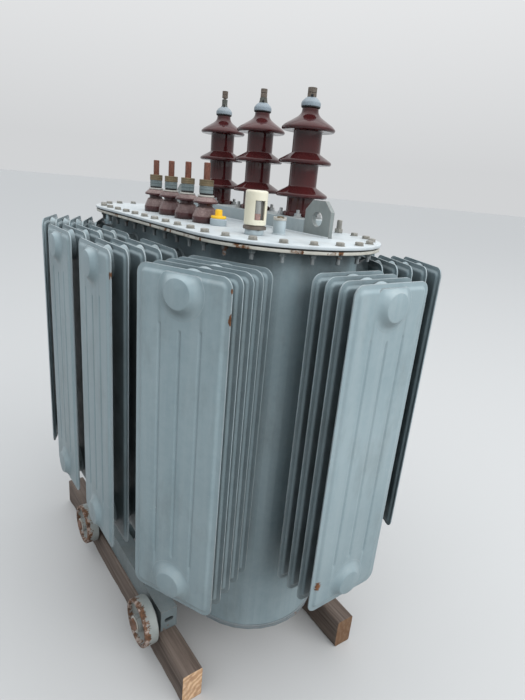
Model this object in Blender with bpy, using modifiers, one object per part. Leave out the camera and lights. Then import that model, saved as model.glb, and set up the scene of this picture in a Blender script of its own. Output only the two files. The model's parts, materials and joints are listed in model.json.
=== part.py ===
"""Oil-filled power transformer with an oval tank and pressed-panel radiators, on two timbers.

Metres, +Z up. X runs along the tank, the low-voltage side faces -Y, and the origin is on the
ground under the middle of the tank.
"""
import math

import bmesh
import bpy
from mathutils import Matrix, Vector

# Fits between neighbouring pieces
GAP = 0.0003              # between faces that touch
PIN_GAP = 0.0008          # between a roller's bore and its axle

# Timbers and underframe
TIMBER_HEIGHT = 0.100
TIMBER_WIDTH = 0.062
TIMBER_LENGTH = 1.060
TIMBER_LV_PLACE = (-0.066, -0.282)
TIMBER_HV_PLACE = (0.031, 0.2406)
TIMBER_HV_TURN = -3.0     # degrees that this timber lies out of line
BEAM_HEIGHT = 0.072
BEAM_DEPTH = 0.052
BEAM_WALL = 0.006
BEAM_LENGTH = 0.600
BEAM_INNER_Y = 0.250      # inner edge of each beam, from the middle
TOW_HOLE_LENGTH = 0.028
TOW_HOLE_WIDTH = 0.014
TOW_HOLE_ROUNDING = 0.0068
TOW_HOLE_LEVEL = 0.50     # height of the hole's centre, as a share of the beam's height
CROSS_MEMBER_X = 0.150
CROSS_MEMBER_WIDTH = 0.065
AXLE_X = 0.2555
AXLE_LEVEL = 0.0247       # axle centre above the underside of the beam
AXLE_RADIUS = 0.013
AXLE_SEGMENTS = 12
AXLE_END = 0.009          # nut and washer thickness at the axle's end
ROLLER_RADIUS = 0.070
ROLLER_WIDTH = 0.042
ROLLER_RIM = 0.011
ROLLER_WEB = 0.010
ROLLER_HUB_RADIUS = 0.025
ROLLER_HUB_REACH = 0.0155  # hub inwards of the rim, up to the beam
ROLLER_HUB_PROUD = 0.001  # hub outwards of the rim
ROLLER_STEPS = 16
HUB_CLEARANCE = 0.001

# Tank
TANK_RADIUS = 0.204       # outside radius of the round ends, half the tank's width
ARC_CENTRE = 0.304        # from the middle of the tank to the centre of each round end
TANK_WALL = 0.004
TANK_HEIGHT = 1.0794      # from the underside of the bottom to the underside of the flange
BOTTOM_THICKNESS = 0.008
BOTTOM_LIP = 0.005
END_FACETS = 33           # odd, so that a facet faces straight along X

# Cover
FLANGE_OVERHANG = 0.0496  # beyond the tank wall
FLANGE_THICKNESS = 0.007
GASKET_THICKNESS = 0.003
GASKET_INSET = 0.004
COVER_OVERHANG = 0.0516
COVER_THICKNESS = 0.0075
COVER_STEPS = 16          # facets in each round end of flange, gasket and cover

# Radiators
RADIATOR_ANGLE = 64.2     # of the outer end radiators, from the X axis
SIDE_RADIATOR_X = 0.1473
RADIATOR_BOTTOM = 0.422   # above the ground
PANEL_HEIGHT = 0.7975
PANEL_WIDTH = 0.225
PANEL_PITCH = 0.0401
PANEL_CORNER = 0.024
PANEL_SEAM = 0.003        # thickness of the welded rim
PANEL_RIM = 0.009         # width of the welded rim
PANEL_BODY = 0.012        # thickness over the channels
PANEL_SLOPE = 0.005
FIRST_PANEL = 0.0616      # tank wall to the middle of the innermost panel
ANGLED_FIRST_PANEL = 0.0416
BOSS_INSET = 0.057        # boss centre to the panel's top or bottom edge
BOSS_FACE_RADIUS = 0.034
BOSS_BASE_RADIUS = 0.042
BOSS_SEGMENTS = 14
HEADER_RADIUS = 0.033
HEADER_SEGMENTS = 8
GROOVE_WIDTH = 0.010
GROOVE_DEPTH = 0.0035
GROOVE_PITCH = 0.050
GROOVE_END = 0.112        # outer grooves' ends to the panel's top or bottom edge
GROOVE_MIDDLE_END = 0.122

# High-voltage side of the cover
BOX_HEIGHT = 0.037
BOX_LENGTH = 0.636
BOX_WIDTH = 0.100
BOX_Y = 0.116
BOX_EDGE = 0.0025
HV_CENTRE_X = 0.0215
HV_END_MARGIN = 0.0825    # middle of the near bushing to the end of the box
HV_STEPS = 14
HV_PORCELAIN_HEIGHT = 0.273
HV_SHAFT_RADIUS = 0.038
HV_BASE_RADIUS = 0.044
HV_BASE_HEIGHT = 0.012
HV_NECK_RADIUS = 0.0215
HV_SHED_RADIUS = 0.071
HV_SHED_HEIGHTS = (0.0557, 0.1407, 0.2224)
HV_SHED_RISE = 0.022      # slope of the two lower sheds
HV_HAT_SHAPE = ((0.42, 0.17), (0.19, 0.40), (0.05, 0.72))  # hollow slope of the top shed: shares of
                                                           # its reach and of its rise to the neck
HV_SHED_LIP = 0.002       # rounding of each shed's rim
HV_CAP_RADIUS = 0.0255
HV_CAP_HEIGHT = 0.026
HV_CAP_SHOULDERS = ((0.45, 1.0), (0.74, 0.74), (0.95, 0.42))  # shares of its radius and height
HV_NUT_RADIUS = 0.0108
HV_NUT_HEIGHT = 0.014
HV_STUD_RADIUS = 0.008
HV_STUD_HEIGHTS = (0.046, 0.036, 0.022)  # above each cap, far to near
HV_TERMINAL_STEPS = 10

# Low-voltage side of the cover
LV_Y = -0.112
LV_CENTRE_X = -0.045
LV_SPACING = 0.105
LV_COUNT = 4
LV_STEPS = 12
LV_PORCELAIN_HEIGHT = 0.067
LV_FOOT_RADIUS = 0.0345
LV_FOOT_HEIGHT = 0.013
LV_WAIST_RADIUS = 0.025
LV_NECK_RADIUS = 0.022
LV_SHED_RADIUS = 0.0335
LV_SHED_SLOPE = 0.010
LV_SHED_EDGE = 0.008
LV_WASHER_RADIUS = 0.022
LV_WASHER_TOP = 0.0045    # heights above the porcelain
LV_SEAL_RADIUS = 0.0175
LV_SEAL_TOP = 0.0090
LV_SLEEVE_RADIUS = 0.0185
LV_SLEEVE_TOP = 0.0276
LV_RING_RADIUS = 0.0192
LV_RING_TOP = 0.0437
LV_STUD_RADIUS = 0.009
LV_STUD_TOP = 0.0864

# Fittings between the bushings
GAUGE_PLACE = (0.355, -0.118)
GAUGE_NECK_RADIUS = 0.0224
GAUGE_NECK_HEIGHT = 0.012
GAUGE_HEX_RADIUS = 0.0275
GAUGE_HEX_HEIGHT = 0.010
GAUGE_RADIUS = 0.0261
GAUGE_HEIGHT = 0.077
GAUGE_ROUNDING = 0.004
GAUGE_WINDOW_TURN = -11.5  # degrees from the X axis
GAUGE_WINDOW_WIDTH = 0.024
GAUGE_WINDOW_HEIGHT = 0.043
GAUGE_WINDOW_BOTTOM = 0.012  # above the underside of the gauge
GAUGE_WINDOW_DEPTH = 0.008
FILLER_PLACE = (0.341, -0.033)
FILLER_RADIUS = 0.0155
FILLER_HEIGHT = 0.034
FILLER_RING_RADIUS = 0.0165
FILLER_RING_HEIGHT = 0.004
FILLER_LID_RADIUS = 0.0125
FILLER_LID_HEIGHT = 0.008
POCKET_PLACE = (0.173, -0.106)
POCKET_RADIUS = 0.0218
POCKET_HEIGHT = 0.0175
POCKET_FLANGE_RADIUS = 0.0202
POCKET_FLANGE_HEIGHT = 0.0065
POCKET_CAP_RADIUS = 0.0095
POCKET_CAP_HEIGHT = 0.0227
POCKET_CAP_ROUNDING = 0.003
FITTING_STEPS = 14
GAUGE_STEPS = 18

# Lifting lugs
LUG_LENGTH = 0.095
LUG_HEIGHT = 0.0868
LUG_THICKNESS = 0.012
LUG_CORNER = 0.025
LUG_HOLE_RADIUS = 0.0185
LUG_HOLE_DROP = 0.0455    # hole centre below the lug's top
LUG_HOLE_SEGMENTS = 20

BEAM_BOTTOM = TIMBER_HEIGHT + GAP
BEAM_TOP = BEAM_BOTTOM + BEAM_HEIGHT
BEAM_OUTER_Y = BEAM_INNER_Y + BEAM_DEPTH
AXLE_Z = BEAM_BOTTOM + AXLE_LEVEL
ROLLER_MIDDLE_Y = BEAM_OUTER_Y + HUB_CLEARANCE + ROLLER_HUB_REACH + ROLLER_WIDTH / 2
ROLLER_FACE_Y = ROLLER_MIDDLE_Y + ROLLER_WIDTH / 2 + ROLLER_HUB_PROUD
TANK_BOTTOM = BEAM_TOP + GAP
FLANGE_BOTTOM = TANK_BOTTOM + TANK_HEIGHT
GASKET_BOTTOM = FLANGE_BOTTOM + FLANGE_THICKNESS + GAP
COVER_BOTTOM = GASKET_BOTTOM + GASKET_THICKNESS + GAP
COVER_TOP = COVER_BOTTOM + COVER_THICKNESS
FLANGE_RADIUS = TANK_RADIUS + FLANGE_OVERHANG
COVER_RADIUS = TANK_RADIUS + COVER_OVERHANG
BOX_BOTTOM = COVER_TOP + GAP
BOX_TOP = BOX_BOTTOM + BOX_HEIGHT
HV_SPACING = BOX_LENGTH / 2 - HV_END_MARGIN - HV_CENTRE_X
LUG_X = BOX_LENGTH / 2 + GAP + LUG_LENGTH / 2
LUG_Y = BOX_Y - BOX_WIDTH / 2 + LUG_THICKNESS / 2

COLOURS = {
    "paint": ((0.24, 0.31, 0.36, 1.0), 0.45, 0.0),
    "cover_paint": ((0.42, 0.47, 0.50, 1.0), 0.40, 0.0),
    "gasket_rubber": ((0.02, 0.02, 0.02, 1.0), 0.80, 0.0),
    "porcelain": ((0.055, 0.012, 0.012, 1.0), 0.12, 0.0),
    "terminal_metal": ((0.33, 0.24, 0.17, 1.0), 0.50, 0.8),
    "cap_metal": ((0.25, 0.32, 0.37, 1.0), 0.45, 0.3),
    "yellow_plastic": ((0.80, 0.52, 0.03, 1.0), 0.45, 0.0),
    "cream_plastic": ((0.72, 0.69, 0.55, 1.0), 0.40, 0.0),
    "roller_steel": ((0.30, 0.22, 0.18, 1.0), 0.65, 0.4),
    "timber": ((0.16, 0.11, 0.08, 1.0), 0.85, 0.0),
}


def clear_scene():
    for item in list(bpy.data.objects):
        bpy.data.objects.remove(item, do_unlink=True)
    for mesh in list(bpy.data.meshes):
        bpy.data.meshes.remove(mesh)


def new_collection(name):
    collection = bpy.data.collections.new(name)
    bpy.context.scene.collection.children.link(collection)
    return collection


def make_material(name):
    colour, roughness, metallic = COLOURS[name]
    material = bpy.data.materials.new(name)
    material.use_nodes = True
    shader = material.node_tree.nodes["Principled BSDF"]
    shader.inputs["Base Color"].default_value = colour
    shader.inputs["Roughness"].default_value = roughness
    shader.inputs["Metallic"].default_value = metallic
    material.diffuse_color = colour
    return material


clear_scene()
PARTS = new_collection("power_transformer")
CUTTERS = new_collection("cutters")
MATERIALS = {name: make_material(name) for name in COLOURS}


def add_mesh(name, mesh, material, smooth=False):
    """Put a mesh in the parts collection as one named piece."""
    part = bpy.data.objects.new(name, mesh)
    PARTS.objects.link(part)
    mesh.materials.clear()
    mesh.materials.append(MATERIALS[material])
    if smooth:
        mesh.shade_smooth()
        mesh.set_sharp_from_angle(angle=math.radians(35))
    return part


def add_part(name, bm, material, smooth=False):
    bmesh.ops.recalc_face_normals(bm, faces=bm.faces)
    mesh = bpy.data.meshes.new(name)
    bm.to_mesh(mesh)
    bm.free()
    return add_mesh(name, mesh, material, smooth)


def add_cutter(name, bm):
    bmesh.ops.recalc_face_normals(bm, faces=bm.faces)
    mesh = bpy.data.meshes.new(name)
    bm.to_mesh(mesh)
    bm.free()
    cutter = bpy.data.objects.new(name, mesh)
    CUTTERS.objects.link(cutter)
    cutter.hide_render = True
    cutter.display_type = "WIRE"
    return cutter


def add_boolean(part, cutter, operation):
    modifier = part.modifiers.new(operation.lower(), "BOOLEAN")
    modifier.operation = operation
    modifier.solver = "EXACT"
    modifier.object = cutter
    return modifier


def add_box(bm, low, high):
    """Add an axis-aligned box between two corners and return its vertices."""
    low, high = Vector(low), Vector(high)
    size, middle = high - low, (high + low) / 2
    matrix = Matrix.Translation(middle) @ Matrix.Diagonal(size).to_4x4()
    return bmesh.ops.create_cube(bm, size=1.0, matrix=matrix)["verts"]


def add_cylinder(bm, radius, start, end, segments, end_radius=None):
    """Add a capped cylinder or cone from start to end."""
    start, end = Vector(start), Vector(end)
    axis = end - start
    turn = axis.to_track_quat("Z", "Y").to_matrix().to_4x4()
    matrix = Matrix.Translation((start + end) / 2) @ turn
    top = radius if end_radius is None else end_radius
    made = bmesh.ops.create_cone(bm, cap_ends=True, segments=segments, radius1=radius,
                                 radius2=top, depth=axis.length, matrix=matrix)
    return made["verts"]


def round_corners(bm, verts, axis, width, segments, above=None):
    """Bevel the edges of a box that run along one axis, or only those above a height."""
    edges = {edge for vert in verts for edge in vert.link_edges}
    chosen = []
    for edge in edges:
        first, second = (vert.co for vert in edge.verts)
        along = all(abs(first[other] - second[other]) < GAP for other in range(3) if other != axis)
        if along and (above is None or first.z > above):
            chosen.append(edge)
    bmesh.ops.bevel(bm, geom=chosen, offset=width, segments=segments, profile=0.5,
                    affect="EDGES", material=-1)


def turned(name, profile, material, steps, place, ring=False):
    """Turn (radius, height) points, listed from the top down, about a vertical axis."""
    bm = bmesh.new()
    points = [bm.verts.new((radius, 0.0, height)) for radius, height in profile]
    for above, below in zip(points, points[1:]):
        bm.edges.new((above, below))
    if ring:
        bm.edges.new((points[-1], points[0]))
    mesh = bpy.data.meshes.new(name)
    bm.to_mesh(mesh)
    bm.free()
    part = add_mesh(name, mesh, material)
    screw = part.modifiers.new("turn", "SCREW")
    screw.steps = steps
    screw.render_steps = steps
    screw.use_merge_vertices = True
    screw.merge_threshold = 0.00005
    screw.use_smooth_shade = True
    part.location = place
    return part


def obround(radius, steps):
    """Outline points of an oval plate: two round ends joined by straight sides."""
    points = []
    for side in (1, -1):
        for step in range(steps + 1):
            angle = math.pi * (step / steps - 0.5)
            x = side * (ARC_CENTRE + radius * math.cos(angle))
            points.append((x, side * radius * math.sin(angle)))
    return points


def oval_plate(name, outer, inner, bottom, height, material):
    """An oval plate, or a ring where an inner radius is given, standing from bottom upwards."""
    bm = bmesh.new()
    steps = COVER_STEPS
    loops = [[bm.verts.new((x, y, bottom)) for x, y in obround(outer, steps)]]
    if inner is None:
        bm.faces.new(loops[0])
    else:
        loops.append([bm.verts.new((x, y, bottom)) for x, y in obround(inner, steps)])
        edges = []
        for loop in loops:
            edges += [bm.edges.new(pair) for pair in zip(loop, loop[1:] + loop[:1])]
        bmesh.ops.bridge_loops(bm, edges=edges)
    raised = bmesh.ops.extrude_face_region(bm, geom=bm.faces[:])
    moved = [item for item in raised["geom"] if isinstance(item, bmesh.types.BMVert)]
    bmesh.ops.translate(bm, verts=moved, vec=(0.0, 0.0, height))
    return add_part(name, bm, material)


def make_timbers():
    for name, place, turn in (("timber_lv", TIMBER_LV_PLACE, 0.0),
                              ("timber_hv", TIMBER_HV_PLACE, TIMBER_HV_TURN)):
        bm = bmesh.new()
        add_box(bm, (-TIMBER_LENGTH / 2, -TIMBER_WIDTH / 2, 0.0),
                (TIMBER_LENGTH / 2, TIMBER_WIDTH / 2, TIMBER_HEIGHT))
        part = add_part(name, bm, "timber")
        part.location = (place[0], place[1], 0.0)
        part.rotation_euler = (0.0, 0.0, math.radians(turn))


def make_beam(name, side):
    """A hollow beam with closed ends, an oval hole in each end, and two stub axles on its outer side."""
    half = BEAM_LENGTH / 2
    inner, outer = BEAM_INNER_Y, BEAM_OUTER_Y
    bm = bmesh.new()
    add_box(bm, (-half, side * inner, BEAM_BOTTOM), (half, side * outer, BEAM_TOP))
    part = add_part(name, bm, "paint")
    hollow = bmesh.new()
    add_box(hollow, (-half + BEAM_WALL, side * (inner - BEAM_WALL), BEAM_BOTTOM + BEAM_WALL),
            (half - BEAM_WALL, side * (outer - BEAM_WALL), BEAM_TOP - BEAM_WALL))
    add_boolean(part, add_cutter(name + "_hollow", hollow), "DIFFERENCE")
    slots = bmesh.new()
    slot_z = BEAM_BOTTOM + BEAM_HEIGHT * TOW_HOLE_LEVEL
    slot_y = side * (inner + BEAM_DEPTH / 2)
    for end in (1, -1):
        verts = add_box(slots, (end * (half - 2 * BEAM_WALL), slot_y - TOW_HOLE_LENGTH / 2,
                                slot_z - TOW_HOLE_WIDTH / 2),
                        (end * (half + BEAM_WALL), slot_y + TOW_HOLE_LENGTH / 2,
                         slot_z + TOW_HOLE_WIDTH / 2))
        round_corners(slots, verts, 0, TOW_HOLE_ROUNDING, 3)
    add_boolean(part, add_cutter(name + "_slots", slots), "DIFFERENCE")
    axles = bmesh.new()
    tip = ROLLER_FACE_Y + HUB_CLEARANCE + AXLE_END
    for end in (1, -1):
        x = end * AXLE_X
        add_cylinder(axles, AXLE_RADIUS, (x, side * (outer - BEAM_WALL / 2), AXLE_Z),
                     (x, side * tip, AXLE_Z), AXLE_SEGMENTS)
    add_boolean(part, add_cutter(name + "_axles", axles), "UNION")
    return part


def make_cross_member(name, x):
    half = CROSS_MEMBER_WIDTH / 2
    reach = BEAM_INNER_Y - GAP
    bm = bmesh.new()
    add_box(bm, (x - half, -reach, BEAM_BOTTOM), (x + half, reach, BEAM_TOP))
    part = add_part(name, bm, "paint")
    hollow = bmesh.new()
    add_box(hollow, (x - half + BEAM_WALL, -reach - BEAM_WALL, BEAM_BOTTOM - BEAM_WALL),
            (x + half - BEAM_WALL, reach + BEAM_WALL, BEAM_TOP - BEAM_WALL))
    add_boolean(part, add_cutter(name + "_hollow", hollow), "DIFFERENCE")
    return part


def make_roller(name, x, side):
    """A turned roller with a recessed web and a hub that reaches in to the beam, on its own axis."""
    bore = AXLE_RADIUS + PIN_GAP
    rim, web = ROLLER_WIDTH / 2, ROLLER_WEB / 2
    inner_rim = ROLLER_RADIUS - ROLLER_RIM
    proud, reach = rim + ROLLER_HUB_PROUD, rim + ROLLER_HUB_REACH
    profile = [
        (bore, proud), (ROLLER_HUB_RADIUS, proud), (ROLLER_HUB_RADIUS, web), (inner_rim, web),
        (inner_rim, rim), (ROLLER_RADIUS, rim), (ROLLER_RADIUS, -rim), (inner_rim, -rim),
        (inner_rim, -web), (ROLLER_HUB_RADIUS, -web), (ROLLER_HUB_RADIUS, -reach), (bore, -reach)]
    part = turned(name, profile, "roller_steel", ROLLER_STEPS,
                  (x, side * ROLLER_MIDDLE_Y, AXLE_Z), ring=True)
    part.rotation_euler = (math.radians(-side * 90), 0.0, 0.0)
    return part


def make_tank():
    wall_bottom = TANK_BOTTOM + BOTTOM_THICKNESS + GAP
    wall_top = FLANGE_BOTTOM - GAP
    for name, side in (("tank_side_lv", -1), ("tank_side_hv", 1)):
        bm = bmesh.new()
        half = ARC_CENTRE - GAP / 2
        add_box(bm, (-half, side * (TANK_RADIUS - TANK_WALL), wall_bottom),
                (half, side * TANK_RADIUS, wall_top))
        add_part(name, bm, "paint")
    for name, side in (("tank_end_near", 1), ("tank_end_far", -1)):
        bm = bmesh.new()
        outline = []
        for radius in (TANK_RADIUS, TANK_RADIUS - TANK_WALL):
            ring = []
            for step in range(END_FACETS + 1):
                angle = math.pi * (step / END_FACETS - 0.5)
                x = side * (ARC_CENTRE + GAP / 2 + radius * math.cos(angle))
                ring.append(bm.verts.new((x, radius * math.sin(angle), wall_bottom)))
            outline.append(ring)
        bm.faces.new(outline[0] + outline[1][::-1])
        raised = bmesh.ops.extrude_face_region(bm, geom=bm.faces[:])
        moved = [item for item in raised["geom"] if isinstance(item, bmesh.types.BMVert)]
        bmesh.ops.translate(bm, verts=moved, vec=(0.0, 0.0, wall_top - wall_bottom))
        add_part(name, bm, "paint", smooth=True)
    oval_plate("tank_bottom", TANK_RADIUS + BOTTOM_LIP, None, TANK_BOTTOM, BOTTOM_THICKNESS, "paint")


def make_cover():
    oval_plate("tank_flange", FLANGE_RADIUS, TANK_RADIUS - TANK_WALL, FLANGE_BOTTOM,
               FLANGE_THICKNESS, "cover_paint")
    oval_plate("cover_gasket", FLANGE_RADIUS - GASKET_INSET, TANK_RADIUS, GASKET_BOTTOM,
               GASKET_THICKNESS, "gasket_rubber")
    oval_plate("cover_plate", COVER_RADIUS, None, COVER_BOTTOM, COVER_THICKNESS, "cover_paint")


def add_panel(bm, x, rimmed):
    """One pressed panel across local X: a welded seam edge that rises to a thicker body."""
    verts = add_box(bm, (x - PANEL_SEAM / 2, -PANEL_WIDTH / 2, 0.0),
                    (x + PANEL_SEAM / 2, PANEL_WIDTH / 2, PANEL_HEIGHT))
    round_corners(bm, verts, 0, PANEL_CORNER, 2)
    faces = [face for face in bm.faces
             if abs(face.normal.x) > 0.9 and abs(face.calc_center_median().x - x) < PANEL_SEAM]
    rise = (PANEL_BODY - PANEL_SEAM) / 2
    if rimmed:
        bmesh.ops.inset_individual(bm, faces=faces, thickness=PANEL_RIM, depth=0.0)
        bmesh.ops.inset_individual(bm, faces=faces, thickness=PANEL_SLOPE, depth=rise)
    else:
        bmesh.ops.inset_individual(bm, faces=faces, thickness=PANEL_RIM + PANEL_SLOPE, depth=rise)


def radiator_mesh(name, panels, first):
    """Mesh of one whole radiator, with local X pointing away from the tank wall."""
    places = [first + PANEL_PITCH * index for index in range(panels)]
    outer = places[-1]
    bm = bmesh.new()
    for x in places:
        add_panel(bm, x, x == outer)
    part = add_part(name, bm, "paint")
    headers = bmesh.new()
    bosses = bmesh.new()
    for z in (BOSS_INSET, PANEL_HEIGHT - BOSS_INSET):
        add_cylinder(headers, HEADER_RADIUS, (GAP, 0.0, z), (outer, 0.0, z), HEADER_SEGMENTS)
        add_cylinder(bosses, BOSS_BASE_RADIUS, (outer + PANEL_SEAM, 0.0, z),
                     (outer + PANEL_PITCH / 2, 0.0, z), BOSS_SEGMENTS, BOSS_FACE_RADIUS)
    add_boolean(part, add_cutter(name + "_headers", headers), "UNION")
    add_boolean(part, add_cutter(name + "_bosses", bosses), "UNION")
    grooves = bmesh.new()
    face = outer + PANEL_BODY / 2
    for index in (-1, 0, 1):
        end = GROOVE_MIDDLE_END if index == 0 else GROOVE_END
        y = index * GROOVE_PITCH
        add_box(grooves, (face - GROOVE_DEPTH, y - GROOVE_WIDTH / 2, end),
                (face + GROOVE_DEPTH, y + GROOVE_WIDTH / 2, PANEL_HEIGHT - end))
    add_boolean(part, add_cutter(name + "_grooves", grooves), "DIFFERENCE")
    bpy.context.view_layer.update()
    graph = bpy.context.evaluated_depsgraph_get()
    shape = bpy.data.meshes.new_from_object(part.evaluated_get(graph))
    bpy.data.objects.remove(part, do_unlink=True)
    return shape


def make_radiators():
    five = radiator_mesh("five_panel_radiator", 5, FIRST_PANEL)
    four = radiator_mesh("four_panel_radiator", 4, FIRST_PANEL)
    angled = radiator_mesh("angled_radiator", 5, ANGLED_FIRST_PANEL)
    near = (ARC_CENTRE + GAP / 2, 0.0)
    far = (-ARC_CENTRE - GAP / 2, 0.0)
    places = [
        ("radiator_near_lv", near, -RADIATOR_ANGLE, angled), ("radiator_near_end", near, 0.0, four),
        ("radiator_near_hv", near, RADIATOR_ANGLE, angled),
        ("radiator_side_lv_near", (SIDE_RADIATOR_X, 0.0), -90.0, five),
        ("radiator_side_lv_far", (-SIDE_RADIATOR_X, 0.0), -90.0, five),
        ("radiator_side_hv_near", (SIDE_RADIATOR_X, 0.0), 90.0, five),
        ("radiator_side_hv_far", (-SIDE_RADIATOR_X, 0.0), 90.0, five),
        ("radiator_far_lv", far, RADIATOR_ANGLE - 180.0, angled), ("radiator_far_end", far, 180.0, four),
        ("radiator_far_hv", far, 180.0 - RADIATOR_ANGLE, angled)]
    for name, centre, degrees, mesh in places:
        part = add_mesh(name, mesh, "paint")
        angle = math.radians(degrees)
        part.location = (centre[0] + TANK_RADIUS * math.cos(angle),
                         centre[1] + TANK_RADIUS * math.sin(angle), RADIATOR_BOTTOM)
        part.rotation_euler = (0.0, 0.0, angle)


def make_hv_box():
    bm = bmesh.new()
    add_box(bm, (-BOX_LENGTH / 2, BOX_Y - BOX_WIDTH / 2, BOX_BOTTOM),
            (BOX_LENGTH / 2, BOX_Y + BOX_WIDTH / 2, BOX_TOP))
    part = add_part("hv_box", bm, "paint")
    bevel = part.modifiers.new("edges", "BEVEL")
    bevel.width = BOX_EDGE
    bevel.segments = 1
    bevel.limit_method = "ANGLE"


def hv_porcelain_profile():
    """From the top down: the hollow-sloped top shed, two straight ones on a plain shaft, the base."""
    shaft, shed, lip = HV_SHAFT_RADIUS, HV_SHED_RADIUS, HV_SHED_LIP
    neck, top = HV_NECK_RADIUS, HV_PORCELAIN_HEIGHT
    points = [(0.0, top), (neck, top)]
    rise = top - HV_SHED_HEIGHTS[-1]
    for across, up in reversed(HV_HAT_SHAPE):
        points.append((neck + (shed - neck) * across, HV_SHED_HEIGHTS[-1] + rise * up))
    for height in reversed(HV_SHED_HEIGHTS):
        if height != HV_SHED_HEIGHTS[-1]:
            points.append((shaft, height + HV_SHED_RISE))
        points += [(shed - lip, height + 2 * lip), (shed, height), (shed - 2 * lip, height - 3 * lip),
                   (shaft, height - 2 * lip)]
    points += [(shaft, HV_BASE_HEIGHT), (HV_BASE_RADIUS, HV_BASE_HEIGHT), (HV_BASE_RADIUS, 0.0),
               (0.0, 0.0)]
    return points


def hv_terminal_profile(stud_height):
    """From the top down: stud, clamping nut and domed cap."""
    stud_top = HV_CAP_HEIGHT + stud_height
    nut_top = HV_CAP_HEIGHT + HV_NUT_HEIGHT
    points = [(0.0, stud_top), (HV_STUD_RADIUS, stud_top), (HV_STUD_RADIUS, nut_top),
              (HV_NUT_RADIUS, nut_top)]
    for across, up in HV_CAP_SHOULDERS:
        points.append((HV_CAP_RADIUS * across, HV_CAP_HEIGHT * up))
    return points + [(HV_CAP_RADIUS, 0.0), (0.0, 0.0)]


def make_hv_bushings():
    base = BOX_TOP + GAP
    for number, stud_height in enumerate(HV_STUD_HEIGHTS, 1):
        x = HV_CENTRE_X + (number - 2) * HV_SPACING
        turned(f"hv_porcelain_{number}", hv_porcelain_profile(), "porcelain", HV_STEPS,
               (x, BOX_Y, base))
        turned(f"hv_terminal_{number}", hv_terminal_profile(stud_height), "cap_metal",
               HV_TERMINAL_STEPS, (x, BOX_Y, base + HV_PORCELAIN_HEIGHT + GAP))


def make_lv_bushings():
    """Porcelains with a broad foot and one shed, each under a stack of washer, seal, sleeve and ring."""
    base = COVER_TOP + GAP
    height = LV_PORCELAIN_HEIGHT
    edge_top = height - LV_SHED_SLOPE
    edge_bottom = edge_top - LV_SHED_EDGE
    porcelain = [(0.0, height), (LV_NECK_RADIUS, height), (LV_SHED_RADIUS, edge_top),
                 (LV_SHED_RADIUS, edge_bottom), (LV_WAIST_RADIUS, edge_bottom),
                 (LV_FOOT_RADIUS, LV_FOOT_HEIGHT), (LV_FOOT_RADIUS, 0.0), (0.0, 0.0)]
    stack = [(0.0, LV_STUD_TOP), (LV_STUD_RADIUS, LV_STUD_TOP), (LV_STUD_RADIUS, LV_RING_TOP),
             (LV_RING_RADIUS, LV_RING_TOP), (LV_RING_RADIUS, LV_SLEEVE_TOP),
             (LV_SLEEVE_RADIUS, LV_SLEEVE_TOP), (LV_SLEEVE_RADIUS, LV_SEAL_TOP),
             (LV_SEAL_RADIUS, LV_SEAL_TOP), (LV_SEAL_RADIUS, LV_WASHER_TOP),
             (LV_WASHER_RADIUS, LV_WASHER_TOP), (LV_WASHER_RADIUS, 0.0), (0.0, 0.0)]
    for number in range(1, LV_COUNT + 1):
        x = LV_CENTRE_X + (number - (LV_COUNT + 1) / 2) * LV_SPACING
        turned(f"lv_porcelain_{number}", porcelain, "porcelain", LV_STEPS, (x, LV_Y, base))
        turned(f"lv_terminal_{number}", stack, "terminal_metal", LV_STEPS,
               (x, LV_Y, base + height + GAP))


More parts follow.
